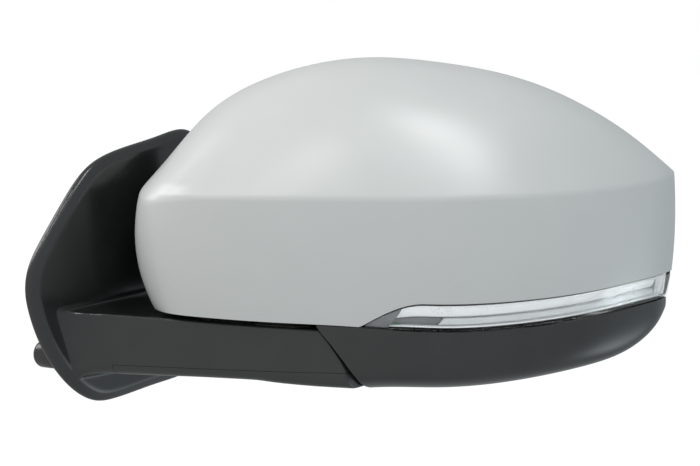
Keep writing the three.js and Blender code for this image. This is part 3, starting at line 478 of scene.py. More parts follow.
# The pivot post's steel is made near black: its darkness is painted shade for the gap between the cap and the arm,
# where the post shows.
post_shade_dark = surface("steel_dark_painted_shade", (0.05, 0.05, 0.053), (0.42, 0.6), metallic=0.6, tone=0.15,
                     grain=1400, bump=0.2)
lens = surface("lens_clear", (0.97, 0.985, 0.99), (0.02, 0.05), tone=0.004, grain=500, bump=0.03, depth=0.01,
               clear=1.0, ior=1.3, alpha=0.25)
guide = surface("guide_clear", (0.85, 0.87, 0.88), (0.08, 0.16), tone=0.02, grain=700, bump=0.1, clear=0.25,
                ior=1.45)
silvered = surface("mirror_silver", (0.8, 0.83, 0.85), (0.015, 0.035), metallic=1.0, tone=0.006, patches=12,
                   grain=300, bump=0.01, depth=0.003)

SLOT_LOOKS = {
    "cap_primer": primer, "trim_black": plastic, "inner_black": inner, "seal_rubber": rubber,
    "bracket_cast": cast, "steel": steel, "gear_nylon": nylon, "lens_clear": lens, "lamp_bright": chromed,
    "board_green": board, "brass": brass, "mirror_silver": silvered,
}
NODE_SLOT = {part["node"]: part["material_slot"] for part in frame["record"]["subparts"]}
BODY_OF = {node: body for body, held in frame["record"]["behaviour"]["bodies"].items() for node in held}


def finish_piece(obj, look, node, *more):
    """Gives a piece its material and makes it stand for the CAD nodes named."""
    obj.data.materials.clear()
    obj.data.materials.append(look)
    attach(obj, BODY_OF[node])
    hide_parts(node, *more)


# ------------------------------------------------------------------ camera

HEAD_RIGHT = Vector(HEAD[:3, 0])
HEAD_BACK = Vector(HEAD[:3, 1])
CAMERA_UP_ANGLE = math.radians(5)
CAMERA_AWAY = 1.0
SENSOR_MM = 36
VIEW_WIDTH = 0.35  # metres that the picture is wide at the mirror
LOOK_AT = Vector(to_row([32.5, 10, 47], HEAD))


def make_camera():
    data = bpy.data.cameras.new("camera")
    data.sensor_width = SENSOR_MM
    data.lens = SENSOR_MM * CAMERA_AWAY / VIEW_WIDTH
    made = bpy.data.objects.new("camera", data)
    bpy.context.collection.objects.link(made)
    back = -HEAD_BACK * math.cos(CAMERA_UP_ANGLE) + Vector((0, 0, 1)) * math.sin(CAMERA_UP_ANGLE)
    made.location = LOOK_AT + back * CAMERA_AWAY
    made.rotation_mode = "QUATERNION"
    made.rotation_quaternion = (-back).to_track_quat("-Z", "Y")
    data.clip_start, data.clip_end = 0.01, 100
    bpy.context.scene.camera = made


make_camera()

# ------------------------------------------------------------------ painted cap

LENS_FROM = 5.13  # station where the lens starts
LENS_SHARE = 0.2  # share of the band's height that the lens takes
LENS_RISE = 0.72  # stations over which it reaches that height
CREASE_ROUND = (5.0, 1.8)  # rounding of the cap's crease at the inboard end and further out
CREASE_SHARP = (1.2, 3.2)  # stations over which it sharpens
ROLL_AT = 5.5  # how far inside the cap's inboard outline its edge rolls back
ROLL_DEPTH = 3.0  # how far the cap stands forward there
ROLL_REACH = 26.0  # how far inwards that fades out
ROLL_ENDS = (3.2, 5.4)  # stations over which the rolled edge fades out
ROLL_FROM_HEIGHT = (66, 74)  # heights over which it fades in, above the crease
ROLL_OUTLINE_TO = 6  # station to which the inboard outline is followed
LENS_GAP = 0.014  # share of the band's height between the lens and the cap over it
# Stations that part the cap's columns into groups, and each group's points with both of its ends.
COLUMN_STATIONS = (0, 5, LENS_FROM, 6.05, LAST)
COLUMN_POINTS = (75, 4, 36, 90)
BAND_POINTS, DOME_POINTS = 60, 90  # points of a column before its crease is rounded
BEND_POINTS = 13  # points round the crease
EVEN_POINTS = (28, 50)  # points under and over the crease when it's done
EDGE = 0.35  # rounding of the cap's and the lower cover's edges


def lens_top(s):
    """Share of the band's height that lies under the lens's upper edge."""
    t = np.clip((np.asarray(s, float) - LENS_FROM) / LENS_RISE, 0, 1)
    return LENS_SHARE * np.sin(t * math.pi / 2)


def rounded_corner(line, corner, radius, steps):
    """Replaces a polyline's corner point by a short smooth bend, within half of the line's shorter side."""
    tip = line[corner]
    shorter = min(np.linalg.norm(line[0] - tip), np.linalg.norm(line[-1] - tip))
    radius = min(radius, shorter / 2)
    before = np.linalg.norm(line[:corner] - tip, axis=1) > radius
    after = np.linalg.norm(line[corner + 1 :] - tip, axis=1) > radius
    head_part, tail_part = line[:corner][before], line[corner + 1 :][after]
    way_in = tip + (head_part[-1] - tip) * radius / np.linalg.norm(head_part[-1] - tip)
    way_out = tip + (tail_part[0] - tip) * radius / np.linalg.norm(tail_part[0] - tip)
    t = np.linspace(0, 1, steps)[:, None]
    bend = way_in * (1 - t) ** 2 + tip * 2 * t * (1 - t) + way_out * t**2
    return head_part, bend, tail_part


def roll_edge(points, stations):
    """Stands the dome forward inside a rolled edge that follows the cap's inboard outline."""
    outline = rail(STATIONS[:, 2], np.linspace(0, ROLL_OUTLINE_TO, 90))[:, [0, 2]]
    away = np.linalg.norm(points[..., None, [0, 2]] - outline, axis=-1).min(-1)
    rise = np.clip(away / ROLL_AT, 0, 1) * (1 - smoothstep(away, ROLL_AT, ROLL_AT + ROLL_REACH))
    above = smoothstep(points[..., 2], *ROLL_FROM_HEIGHT)
    fade = 1 - smoothstep(stations, *ROLL_ENDS)
    points[..., 1] -= ROLL_DEPTH * rise * above * fade[:, None]
    return points


def cap_columns():
    """Stations of the cap's columns, which are closer together where the lens starts."""
    groups = zip(COLUMN_STATIONS, COLUMN_STATIONS[1:], COLUMN_POINTS)
    return np.concatenate([*(np.linspace(start, end, count)[:-1] for start, end, count in groups), [LAST]])


def cap_grid():
    columns = cap_columns()
    rows = []
    for s in columns:
        low = 0.0 if s < LENS_FROM else float(lens_top(s)) + LENS_GAP
        t_band, t_dome = np.linspace(low, 1, BAND_POINTS), np.linspace(0, 1, DOME_POINTS)[1:]
        line = np.concatenate([band(np.full(len(t_band), s), t_band), dome(np.full(len(t_dome), s), t_dome)])
        radius = float(np.interp(smoothstep(s, *CREASE_SHARP), (0, 1), CREASE_ROUND))
        head_part, bend, tail_part = rounded_corner(line, BAND_POINTS - 1, radius, BEND_POINTS)
        under = even_points(np.concatenate([head_part, bend[:1]]), EVEN_POINTS[0])
        over = even_points(np.concatenate([bend[-1:], tail_part]), EVEN_POINTS[1])
        rows.append(np.concatenate([under, bend[1:-1], over]))
    return roll_edge(np.array(rows), columns)


def make_cap():
    outer = cap_grid()
    inside = outer + normals(outer) * WALL
    for edge in ((0, slice(None)), (-1, slice(None)), (slice(None), -1)):
        inside[edge][..., 1] = np.minimum(inside[edge][..., 1], outer[edge][..., 1])
    cap = panel("cap_painted", outer, inside, HEAD, sharp=38)
    soften_edges(cap, EDGE, angle=50)
    finish_piece(cap, primer, "front_cover")


make_cap()

# ------------------------------------------------------------------ turn signal

LENS_TO = LAST - 0.06  # station where the lens ends
LIT_TO = 10.84  # and where the bright edges inside it do


def strip(name, along, up, deep, columns=90, rows=7):
    """A strip under the band's surface between two stations, two shares of the lens's height and two depths.

    Each station and each depth is one value, or a pair for the strip's lower and upper edge.
    """
    ends = lambda value: np.linspace(*np.broadcast_to(value, 2), rows)
    share = np.linspace(*up, rows)
    start, end = ends(along[0]), ends(along[1])
    s = start + (end - start) * np.linspace(0, 1, columns)[:, None]
    surface_at = lambda t: band(s.ravel(), t.ravel()).reshape(columns, rows, 3)
    grid = surface_at(lens_top(s) * share)
    inward = normals(surface_at(np.tile(share * LENS_SHARE, (columns, 1))))
    near, far = [grid + inward * ends(depth)[None, :, None] for depth in deep]
    return panel(name, near, far, HEAD, sharp=40)


def lamp_part(name, look, slot, *shape, **more):
    """A strip of the lamp that stands for no CAD node of its own."""
    made = strip(name, *shape, **more)
    made.data.materials.append(look)
    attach(made, "head")


def make_lamp():
    cover = strip("lamp_lens_clear", (5.145, LENS_TO), (0.04, 0.955), (0.0, 2.0))
    soften_edges(cover, 0.3, angle=45)
    finish_piece(cover, lens, "lamp_lens")
    back = strip("lamp_tray_back", (5.24, 10.86), (0.02, 0.98), (7.6, 8.6))
    finish_piece(back, shade_grey, "lamp_housing")
    lamp_part("lamp_tip_mask", shade_grey, "inner_black",
              (5.15, (5.41, 5.58)), (0.02, 0.95), (2.15, 3.0), columns=24)
    lamp_part("lamp_sill_mask", shade_grey, "inner_black",
              (5.43, (5.98, 6.06)), (0.17, 0.44), (4.6, 5.4), columns=24)
    upper = strip("lamp_reflector_upper", ((5.37, 5.54), 10.06), (0.48, 0.87), ((4.6, 2.7), (5.4, 3.5)))
    soften_edges(upper, 0.2)
    finish_piece(upper, chromed, "lamp_reflector")
    lamp_part("lamp_reflector_sill", chromed, "lamp_bright", (5.2, LIT_TO), (0.1, 0.15), (2.3, 5.0), rows=3)
    lamp_part("lamp_reflector_edge", chromed, "lamp_bright",
              (5.16, LIT_TO), (0.885, 0.95), (2.3, 5.0), rows=3)
    lamp_part("lamp_reflector_end", chromed, "lamp_bright",
              (10.13, 10.7), (0.17, 0.91), ((3.0, 2.4), (3.8, 3.2)), columns=16)
    lamp_part("lamp_reflector_wall", chromed, "lamp_bright",
              (10.78, 10.925), (0.06, 0.95), (2.3, 6.0), columns=4)
    bar = strip("lamp_light_guide", ((6.0, 6.08), (10.08, 10.04)), (0.18, 0.44), ((3.4, 3.2), (6.0, 5.6)))
    soften_edges(bar, 0.5, angle=45, segments=3)
    finish_piece(bar, guide, "light_guide")


make_lamp()

# ------------------------------------------------------------------ foot's round end and the lower cover

# The round end's height over the parting plane and its radius, from the bottom up.
ROUND_END = np.array([[-60, 45.5], [-25, 45], [-18, 43], [-9, 38.4], [0, 33.2], [12, 29.5]])
ROUND_ROWS_FROM = -34  # height over which it needs many rows, being nearly straight below
FOLD_REAR_CUT = math.radians(48)  # direction of the rear side of rear_wedge, about the fold axis
FOOT_ROOM = 1.6  # room between the foot and the lower cover around it
GAP = 0.4  # usual gap between fitted parts


def round_end(extra):
    """The foot's round end about the fold axis, extra further out."""
    bottom, top = ROUND_END[[0, -1], 0]
    height = np.concatenate([[bottom], np.linspace(ROUND_ROWS_FROM, top, 47)])
    radius = monotone(ROUND_END[:, 0], ROUND_END[:, 1], height) + extra
    return lathe("tool", [(0, bottom), *zip(radius, height), (0, top)], PIVOT, sides=160)


def rear_wedge(extra):
    """The room beside the foot that the lower cover leaves free behind the fold axis."""
    reach, below, above = 200, -70, 32
    outline = [(0, 0), (reach * math.cos(FOLD_REAR_CUT), reach * math.sin(FOLD_REAR_CUT)), (-reach, reach),
               (-reach, -reach), (0, -reach)]
    rows = [[(x + extra, y - extra, z) for x, y in outline] for z in (below, above)]
    return loft("tool", rows, PIVOT)


LOWER_REAR = 54.0  # y of the lower cover's rear rim
LOWER_FROM, LOWER_TO = 4, 10.8  # stations where the lower cover starts and ends
# Height of the lower cover's bottom and of its rear rim at each station of the head.
LOWER_FLOOR = np.array([0, 0, 0, 0, -29, -29.3, -28, -25.6, -20.3, -13.6, -3.6, 7.5])
LOWER_RIM = np.array([12.2, 12, 11.8, 10.8, 9, 7.6, 6.9, 6.9, 7.9, 9.4, 10.4, 10.9])
SQUARENESS = 0.52  # power that shapes its section: 1 is an ellipse, less is squarer
OPEN_UP = 20  # how far the room inside it reaches over its rim


def lower_section(s, margin, raised, sides=56):
    """A section of the lower cover at station s, margin inside its surface and open upwards when raised."""
    s = np.asarray(s, float)
    front = rail(STATIONS[:, 1], s)[:, None]
    rim = rail(LOWER_RIM[:, None], s)[:, None, 0] - GAP
    floor = rail(LOWER_FLOOR[:, None], s)[:, None, 0] + margin
    middle = (front[..., 1] + LOWER_REAR) / 2
    half = (LOWER_REAR - front[..., 1]) / 2 - margin
    angle = np.linspace(0, math.pi, sides)[None, :]
    power = lambda v: np.sign(v) * np.abs(v) ** SQUARENESS
    y = middle - half * power(np.cos(angle))
    share = (y - front[..., 1]) / (LOWER_REAR - front[..., 1])
    top = (front[..., 2] - GAP) * (1 - share) + rim * share
    z = top - (top - floor) * power(np.sin(angle))
    z[:, 0] += raised
    z[:, -1] += raised
    x = np.repeat(front[..., 0], sides, 1)
    return np.stack([x, y, z], -1)


def make_lower_cover():
    s = np.concatenate([np.linspace(LOWER_FROM, 5, 8)[:-1], np.linspace(5, LOWER_TO, 90)])
    cover = loft("lower_cover_black", lower_section(s, 0, 0, 90), HEAD, sharp=40)
    room = loft("tool", lower_section(s[:-4], WALL, OPEN_UP), HEAD)
    for shell, extra in ((cover, FOOT_ROOM), (room, FOOT_ROOM + WALL)):
        cut(shell, round_end(extra))
        cut(shell, rear_wedge(extra))
    cut(cover, room)
    tidy(cover, 40)
    soften_edges(cover, EDGE, angle=45)
    finish_piece(cover, plastic, "lower_cover")


make_lower_cover()

# ------------------------------------------------------------------ foot

# Corners (y, z) of the sail flange's outline in the row frame.
FLANGE = np.array([
    [-68.5, -4], [-66.8, -14], [-60, -30], [-49, -45.5], [-36, -57.5], [-22, -64.8], [-8, -66.2],
    [24, -63.2], [50, -60.6], [60, -56.5], [64, -46], [64.5, 0], [64.5, 54], [62, 65], [53, 70.4],
    [30, 67.6], [5, 63], [-16, 57.5], [-29, 50], [-43, 36], [-56.5, 20.5], [-66, 7],
])
RIM = 1.2  # where the flange's rim starts, just off the door
SEAL = (4.5, 6.1)  # how far inside the flange's outline the seal's two sides lie
FLANGE_FACE = 8.0  # x of the flange's outer face
# The flange's edge from the door outwards: x and depth inside the outline.
FLANGE_EDGE = [
    (RIM, 2.4), (RIM + 0.2, 1.7), (2.0, 0.7), (2.7, 0.2), (3.4, 0.0), (4.2, 0.1), (4.9, 0.4), (5.5, 0.9),
    (6.0, 1.6), (7.6, 4.2), (7.85, 4.8), (7.97, 5.6), (FLANGE_FACE, 6.6),
]
SEAM_Z = -43.4  # height of the seam between the arm and its lower trim
SEAM_FROM = 26.0  # x where the lower trim starts
SEAM_GAP = 0.18

# Sections of the arm: x, front y, bottom z, how far the root flares there, and how far its top is lifted at
# the front and at the rear.
ARM = np.array([
    [7, -38.3, -48.4, 17.5, 3.8, 7.8],
    [9, -37.7, -48.4, 11.5, 1.3, 4.8],
    [12, -36.7, -48.4, 7, 0.3, 2.9],
    [17, -35, -48.5, 3.6, 0, 1.1],
    [24, -32.8, -48.6, 1.2, 0, 0.1],
    [45, -25.6, -48.7, 0, 0, 0],
    [64, -18.7, -48.6, 0, 0, 0],
    [84, -11.6, -48.7, 0, 0, 0],
    [93, -8.2, -48.9, 0, 0, 0],
    [103, -4, -49.9, 0, 0, 0],
    [112, 0.1, -50.6, 0, 0, 0],
    [125, 6.3, -51.3, 0, 0, 0],
    [150, 18.5, -52, 0, 0, 0],
], float)
ARM_FROM, ARM_BEND, ARM_TO = ARM[0, 0], 30, ARM[-1, 0]  # rows are closer together before the middle one
ARM_ROOT, ROOM_ROOT = 6.4, 4.5  # x where the arm and the room inside it start, within the flange
LOW_FLARE = 0.2  # share of the flare that the arm's lower edges take
ARM_REAR = (16.2, 0.319)  # the arm's rear side: y where x is 0, and its slope
ARM_EDGE = 1.9  # rounding of the arm's top edges
ARM_BELLY = 7.0  # and of its bottom edges
VOXEL = 0.5  # grain of the mesh that blends flange and arm
RELAX = (0.5, 6)  # strength and rounds of its smoothing
PIVOT_HOLE = (21, -8, 6)  # radius, bottom and top of the hole round the pivot post


def arm_top(x, y):
    p = from_row(np.stack([x, y, np.zeros_like(x)], -1), HEAD)
    return HEAD[2, 3] / MM + PIVOT_Z - PIVOT_LEAN * (p[:, 0] - p[:, 1]) - PART_DROP


def arm_rows(margin, root):
    """Sections of the arm, margin inside its surface, the first of them moved to x = root."""
    x = np.concatenate([np.linspace(ARM_FROM, ARM_BEND, 26), np.linspace(ARM_BEND, ARM_TO, 62)[1:]])
    columns = [monotone(ARM[:, 0], ARM[:, k], x) for k in range(1, ARM.shape[1])]
    front, bottom, flare, lift_front, lift_rear = columns
    edge, belly = max(1, ARM_EDGE - margin), max(1, ARM_BELLY - margin)
    near = lambda share: front - flare * share + margin
    far = lambda share: ARM_REAR[0] + ARM_REAR[1] * x + flare * share - margin
    low = bottom - flare * LOW_FLARE + margin
    near_top = arm_top(x, near(1)) + lift_front - margin
    far_top = arm_top(x, far(1)) + lift_rear - margin
    corners = [
        (far(1) - edge, far_top - edge, edge, 0),
        (near(1) + edge, near_top - edge, edge, 90),
        (near(LOW_FLARE) + belly, low + belly, belly, 180),
        (far(LOW_FLARE) - belly, low + belly, belly, 270),
    ]
    x[0] = root
    points = []
    for y, z, radius, start in corners:
        for angle in np.radians(np.linspace(start, start + 90, 9)):
            points.append(np.stack([x, y + radius * math.cos(angle), z + radius * math.sin(angle)], -1))
    return np.stack(points, 1)


def arm_body(margin, root):
    arm = loft("tool", arm_rows(margin, root), ROW)
    reach = round_end(-margin)
    cut(reach, solid_box((-20, -150, -150), (PIVOT[0, 3] / MM, 200, 60)), "UNION")
    return cut(arm, reach, "INTERSECT")


def flange_rows(profile, count=180):
    outline = closed_spline(FLANGE, count)
    return [np.concatenate([np.full((count, 1), x), shrink(outline, depth)], 1) for x, depth in profile]


def make_foot():
    foot = loft("foot_trim", flange_rows(FLANGE_EDGE), ROW)
    cut(foot, arm_body(0, ARM_ROOT), "UNION")
    remesh = foot.modifiers.new("remesh", "REMESH")
    remesh.mode = "VOXEL"
    remesh.voxel_size = VOXEL * MM
    relax = foot.modifiers.new("relax", "SMOOTH")
    relax.factor, relax.iterations = RELAX
    apply_modifiers(foot)
    room_edge = [(0, SEAL[0] - GAP), (3, WALL), (FLANGE_FACE - WALL, WALL + 0.3)]
    room = loft("tool", flange_rows(room_edge, 90), ROW)
    cut(room, arm_body(WALL, ROOM_ROOT), "UNION")
    cut(foot, room)
    radius, bottom, top = PIVOT_HOLE
    cut(foot, lathe("tool", [(0, bottom), (radius, bottom), (radius, top), (0, top)], PIVOT, sides=64))
    under = foot.copy()
    under.data = foot.data.copy()
    under.name = "foot_arm_lower"
    bpy.context.collection.objects.link(under)
    # Past the seam, these boxes reach beyond the foot on every side.
    cut(foot, solid_box((SEAM_FROM, -100, -100), (200, 150, SEAM_Z)))
    lower = solid_box((SEAM_FROM + SEAM_GAP, -100, -100), (200, 150, SEAM_Z - SEAM_GAP))
    cut(under, lower, "INTERSECT")
    for piece, node in ((foot, "base_cover"), (under, "arm_lower_cover")):
        shade(piece, 30)
        finish_piece(piece, plastic, node)


make_foot()

# ------------------------------------------------------------------ glass and bezel

# Corners (x, z) of the glass's outline in the head frame.
GLASS_CORNERS = np.array([
    [-22, 44], [-19, 26], [-6, 18.5], [25, 16], [75, 15], [120, 16], [156, 19.5],
    [173, 27], [178, 44], [176, 66], [164, 86], [138, 103], [105, 114.5], [70, 119.5],
    [36, 119], [6, 108], [-14, 90], [-21, 68],
], float)
GLASS = closed_spline(GLASS_CORNERS, 220)
GLASS_EDGE = [(38, 0.3), (38.3, 0), (39.5, 0), (39.85, 0.12), (40, 0.5)]  # y and depth inside the outline


def upright_rows(profile, outline):
    """Rows for a plate in the head's xz plane: profile is a list of (y, depth inside the outline)."""
    rows = []
    for y, depth in profile:
        edge = shrink(outline, depth)
        rows.append(np.stack([edge[:, 0], np.full(len(edge), y), edge[:, 1]], -1))
    return rows


def make_glass():
    plate = loft("mirror_glass_plate", upright_rows(GLASS_EDGE, GLASS), HEAD, sharp=25)
    finish_piece(plate, silvered, "mirror_glass")


def crossing(outline, points):
    """Where the lines from the glass's centre towards points cross an outline."""
    centre = TILT_MM[[0, 2]]
    turn = lambda p: np.arctan2(p[:, 1] - centre[1], p[:, 0] - centre[0])
    angle = np.unwrap(turn(outline))
    reach = np.linalg.norm(outline - centre, axis=1)
    angle, reach = np.concatenate([angle - 2 * math.pi, angle, angle + 2 * math.pi]), np.tile(reach, 3)
    want = turn(points)
    far = np.interp(want, angle, reach)
    return centre + far[:, None] * np.stack([np.cos(want), np.sin(want)], -1)


LIP_Y = 60.0  # y of the bezel's rear lip
WALL_Y = 44  # y where the wall of the recess ends, beside the glass
GLASS_ROOM = 2.6  # room between the glass and that wall
UNDER_Y = 46  # y of the bezel's lower edge
UNDER_TO = 2.6  # station where it leaves the lower cover's rim
BEZEL_CORNER = [-57.5, 34, 12.8]  # the inboard lower corner


def bezel_front():
    """The line where the bezel meets the cap, the floor and the lower cover, evenly spaced."""
    top = rail(STATIONS[:, 2], np.linspace(0, LAST, 160))
    tip = band(np.full(12, float(LAST)), np.linspace(0.95, 0.12, 12))
    s = np.linspace(LAST - 0.06, UNDER_TO, 60)
    under = rail(STATIONS[:, 1], s)
    under[:, 1] = UNDER_Y
    under[:, 2] = rail(LOWER_RIM[:, None], s)[:, 0] + GAP
    inboard = band(np.zeros(14), np.linspace(0.1, 0.96, 14))
    bend = np.array([under[-1], BEZEL_CORNER, inboard[0]])
    corner = natural_spline([0, 1, 2], bend, np.linspace(0, 2, 9)[1:-1])
    line = np.concatenate([top, tip, under, corner, inboard])
    return even_points(np.concatenate([line, line[:1]]), 320, closed=True)


def make_bezel():
    start_line = bezel_front()
    hit = crossing(shrink(GLASS, -GLASS_ROOM), start_line[:, [0, 2]])
    inwards = np.zeros_like(start_line)
    inwards[:, [0, 2]] = hit - start_line[:, [0, 2]]
    width = np.linalg.norm(inwards, axis=1)
    inwards /= width[:, None]
    wide = smoothstep(-start_line[:, 0], 30, 70)  # 1 at the broad inboard end
    start = start_line[:, 1] + GAP + 0.2 + wide * 2.6
    lip = 2.8 + wide * 18
    middle = start + (LIP_Y - start) * 0.62

    def at(depth, y):
        made = start_line + inwards * np.broadcast_to(depth, width.shape)[:, None]
        made[:, 1] = y
        return made

    # Depth from the front line and y, over the outer face, the lip, down the recess's wall and back inside.
    section = [
        (0, start), (0.15 + wide * 2, start + (middle - start) * 0.5), (0.6 + wide * 6, middle),
        (0.5 * (lip + 0.2) + wide * 3, LIP_Y - 1.6), (lip * 0.85, LIP_Y - 0.35), (lip + 0.6, LIP_Y),
        (lip + 2, LIP_Y), (lip + 3.2, LIP_Y - 0.4), (width - 1.2, LIP_Y - 3.2), (width - 0.6, LIP_Y - 3.8),
        (width - 0.2, 50), (width, WALL_Y), (width - 2, WALL_Y), (width - 2.6, 51),
        (width - 3, LIP_Y - 5.8), (lip + 2, LIP_Y - 2.6), (3 + wide * 6, middle - 0.8), (2.4, start),
    ]
    rows = np.stack([at(depth, y) for depth, y in section], 1)
    bezel = loft("rear_bezel_black", rows, HEAD, closed_ring=True, sharp=35)
    mod = bezel.modifiers.new("smooth", "SUBSURF")
    mod.levels = mod.render_levels = 1
    finish_piece(bezel, plastic, "rear_bezel")


make_glass()
make_bezel()

# ------------------------------------------------------------------ seal behind the flange


def make_seal():
    """A rubber seal with two lips that are pressed on the door, round the foot's bracket."""
    mid = sum(SEAL) / 2
    profile = [(0.1, mid + 0.5), (0.6, SEAL[1] - 0.05), (2.2, SEAL[1]), (2.35, mid), (2.2, SEAL[0]),
               (0.6, SEAL[0] + 0.05), (0.1, mid - 0.5), (0.5, mid)]
    rows = np.stack(flange_rows(profile), 1)
    finish_piece(loft("seal_rubber_lips", rows, ROW, closed_ring=True, sharp=60), rubber, "base_gasket")


make_seal()

# ------------------------------------------------------------------ studs and peg


def along_x(point):
    """A frame at a point (y, z) of the door, in millimetres, whose z axis points out of the car."""
    y, z = point
    return frame_matrix((0, y * MM, z * MM), x_axis=(0, 1, 0), z_axis=(1, 0, 0))


def middle_of(node):
    low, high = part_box(node)
    return (low[1] + high[1]) / 2 / MM, (low[2] + high[2]) / 2 / MM


STUD_OUT = 20  # how far the studs stand out of the mounting face


def make_stud(node):
    """An M6 stud with a rolled thread and a round head inside the plate."""
    pitch, radius, per_turn, thread_depth = 1.0, 3.0, 24, 0.55
    z = np.arange(-STUD_OUT, -1.5, pitch / 8)
    angle = np.linspace(0, 2 * math.pi, per_turn, endpoint=False)
    phase = (z[:, None] / pitch - angle[None] / (2 * math.pi)) % 1
    depth = thread_depth * np.clip(np.abs(phase - 0.5) * 2, 0.12, 0.9)
    ease = np.minimum(smoothstep(z, -STUD_OUT - 0.1, -STUD_OUT + 1), 1 - smoothstep(z, -3, -1.6))[:, None]
    r = radius - 0.3 * (1 - ease) - depth * ease
    rows = np.stack([r * np.cos(angle), r * np.sin(angle), np.repeat(z[:, None], per_turn, 1)], -1)
    head_profile = ((radius, -1.4), (radius, 3.4), (5.3, 3.4), (5.5, 3.6), (5.5, 4.8), (5.2, 5.0))
    head = np.array([[(q * math.cos(a), q * math.sin(a), w) for a in angle] for q, w in head_profile])
    rows = np.concatenate([[rows[0] * [0.8, 0.8, 1]], rows, head])
    stud = loft("bolt_" + node, rows, along_x(middle_of(node)), sharp=50)
    finish_piece(stud, steel, node)


for stud_node in ("mounting_stud_front", "mounting_stud_upper", "mounting_stud_lower"):
    make_stud(stud_node)


def make_peg():
    profile = [(0, -14.5), (4.6, -14.5), (5.5, -14.3), (6.3, -13.7), (6.85, -12.7), (7, -11.8), (7, -0.9),
               (6.8, -0.5), (6.4, -0.3), (2.6, -0.3), (2.6, 3.1), (0, 3.1)]
    peg = lathe("peg_moulded", profile, along_x(middle_of("locating_peg")), sides=56, sharp=50)
    finish_piece(peg, plastic, "locating_peg")


make_peg()

# ------------------------------------------------------------------ the CAD nodes that stay

# Edge rounding, in millimetres, of the larger CAD nodes that stay visible.
ROUNDED = {"base_bracket": 0.5, "connector_socket": 0.35, "floor_panel": 0.5, "head_frame": 0.4,
           "fold_case": 0.4, "fold_case_lid": 0.4, "actuator_case": 0.3, "actuator_cover": 0.3,
           "glass_carrier": 0.3, "fold_motor": 0.3}
# The pivot post gets the near-black steel, whose darkness is painted shade in the gap under the cap.
NODE_LOOKS = {"pivot_post": post_shade_dark}  # where a node's finish differs from its slot's
for node, obj in frame["nodes"].items():
    obj.data.materials.clear()
    obj.data.materials.append(NODE_LOOKS.get(node, SLOT_LOOKS[NODE_SLOT[node]]))
    if node in ROUNDED:
        soften_edges(obj, ROUNDED[node], angle=35)

# ------------------------------------------------------------------ floor, light

FLOOR_DROP = 0.22  # how far the floor lies under the mirror, which hangs from a door
FLOOR_SIDE = 40
FLOOR_GLOW = 0.9
# Strength of the world's light from straight below (0) over the horizon (0.5) to straight above (1).
SKY_BY_HEIGHT = ((0.0, 0.6), (0.2, 2.2), (0.42, 2.05), (0.56, 0.78), (1.0, 1.3))
SKY_BACK = (0.98, 0.48)  # its share from the front and from the rear
SKY_RIGHT = (0.98, 0.87)  # its share from the door's side and from the tip's side
TINT_DOOR, TINT_TIP = (1, 0.995, 0.98, 1), (0.87, 0.95, 0.99, 1)  # its colour from those two sides
GLOW_FROM = (0.87, 0.14, -0.47)  # where a soft glow comes from, in the head's frame: past the tip and below
GLOW = 2.2  # its strength
GLOW_NARROW = 42  # the power that its falloff follows
# Softboxes: place, aim, and width and height, in millimetres in the head's frame, and power in watts.
SOFTBOXES = {
    "key_overhead": ((220, -250, 900), (90, 0, 80), (120, 420), 2.2),
    "left_strip": ((-700, 195, 556), (-40, 0, 80), (350, 500), 2.4),
    "left_above": ((-600, -150, 700), (-40, -30, 30), (160, 300), 1.5),
    "arm_edge": ((-170, -360, 830), (-60, -30, -10), (60, 160), 0.65),
}


def make_floor():
    """A plain pale floor, evenly lit."""
    z = cad_box[0][2] - FLOOR_DROP
    corners = [(-1, -1), (1, -1), (1, 1), (-1, 1)]
    mesh = bpy.data.meshes.new("floor")
    mesh.from_pydata([(x * FLOOR_SIDE, y * FLOOR_SIDE, z) for x, y in corners], [], [(0, 1, 2, 3)])
    floor = bpy.data.objects.new("floor", mesh)
    bpy.context.collection.objects.link(floor)
    pale = surface("floor_pale", (0.2, 0.2, 0.2), (0.8, 0.9), tone=0.01, patches=1, grain=80, bump=0.02,
                   specular=0.0)
    shader = pale.node_tree.nodes["Principled BSDF"]
    shader.inputs["Emission Color"].default_value = (1, 1, 1, 1)
    shader.inputs["Emission Strength"].default_value = FLOOR_GLOW
    floor.data.materials.append(pale)
    floor.visible_diffuse = False
    floor.visible_glossy = False
    floor.visible_shadow = False


def area_light(name, at, aim, size, power):
    """A softbox placed and aimed in the head's frame, in millimetres."""
    data = bpy.data.lights.new(name, "AREA")
    data.shape = "RECTANGLE"
    data.size, data.size_y = size[0] * MM, size[1] * MM
    data.energy = power
    made = bpy.data.objects.new(name, data)
    bpy.context.collection.objects.link(made)
    start, end = Vector(to_row(at, HEAD)), Vector(to_row(aim, HEAD))
    made.location = start
    made.rotation_mode = "QUATERNION"
    made.rotation_quaternion = (end - start).to_track_quat("-Z", "Y")


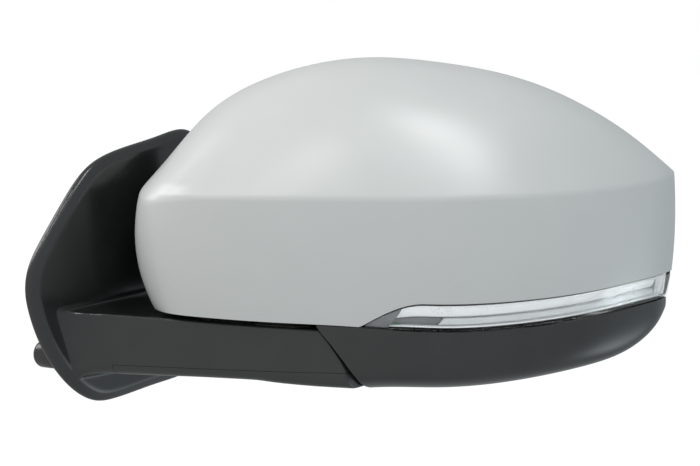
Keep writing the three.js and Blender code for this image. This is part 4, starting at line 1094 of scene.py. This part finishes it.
def make_world():
    """Soft light from all round, white to the eye: brightest from below the horizon, dimmer from the rear,
    with a glow from past the tip."""
    world = bpy.data.worlds.new("studio")
    bpy.context.scene.world = world
    world.use_nodes = True
    nodes = Nodes(world.node_tree)
    background = world.node_tree.nodes["Background"]
    direction = nodes.add("ShaderNodeTexCoord").outputs["Generated"]

    def towards(axis, low, high):
        """A value from low to high over directions from against an axis to along it."""
        ends = {"From Min": -1.0, "From Max": 1.0, "To Min": low, "To Max": high}
        along = {"Value": nodes.dot(direction, axis), **ends}
        return nodes.add("ShaderNodeMapRange", along, interpolation_type="SMOOTHSTEP").outputs["Result"]

    height = nodes.add("ShaderNodeSeparateXYZ", {0: direction}).outputs["Z"]
    share = nodes.add("ShaderNodeMapRange", {"Value": height, "From Min": -1.0, "From Max": 1.0})
    ramp = nodes.add("ShaderNodeValToRGB", {"Fac": share.outputs["Result"]})
    ramp.color_ramp.interpolation = "B_SPLINE"
    for stop, (at, strength) in enumerate(SKY_BY_HEIGHT):
        point = ramp.color_ramp.elements[stop] if stop < 2 else ramp.color_ramp.elements.new(at)
        point.position, point.color = at, (strength, strength, strength, 1)
    light = ramp.outputs["Color"]
    for axis, ends in ((HEAD_BACK, SKY_BACK), (HEAD_RIGHT, SKY_RIGHT)):
        light = nodes.math("MULTIPLY", light, towards(axis, *ends))
    source = (HEAD[:3, :3] @ np.array(GLOW_FROM)).tolist()
    near = nodes.math("MAXIMUM", nodes.dot(direction, source), 0.0)
    near = nodes.math("POWER", near, GLOW_NARROW)
    light = nodes.math("MULTIPLY_ADD", near, GLOW, light)
    tint = nodes.add("ShaderNodeMix", data_type="RGBA")
    world.node_tree.links.new(towards(HEAD_RIGHT, 0, 1), tint.inputs["Factor"])
    tint.inputs[6].default_value = TINT_DOOR
    tint.inputs[7].default_value = TINT_TIP
    tinted = nodes.add("ShaderNodeVectorMath", {0: tint.outputs[2]}, operation="SCALE")
    world.node_tree.links.new(light, tinted.inputs["Scale"])
    seen = nodes.add("ShaderNodeLightPath").outputs["Is Camera Ray"]
    pick = nodes.add("ShaderNodeMix", data_type="RGBA")
    world.node_tree.links.new(seen, pick.inputs["Factor"])
    world.node_tree.links.new(tinted.outputs[0], pick.inputs[6])
    pick.inputs[7].default_value = (1, 1, 1, 1)
    world.node_tree.links.new(pick.outputs[2], background.inputs["Color"])
    background.inputs["Strength"].default_value = 1.0


make_floor()
make_world()
for light_name, light_shape in SOFTBOXES.items():
    area_light(light_name, *light_shape)
bpy.context.scene.view_settings.view_transform = "Standard"
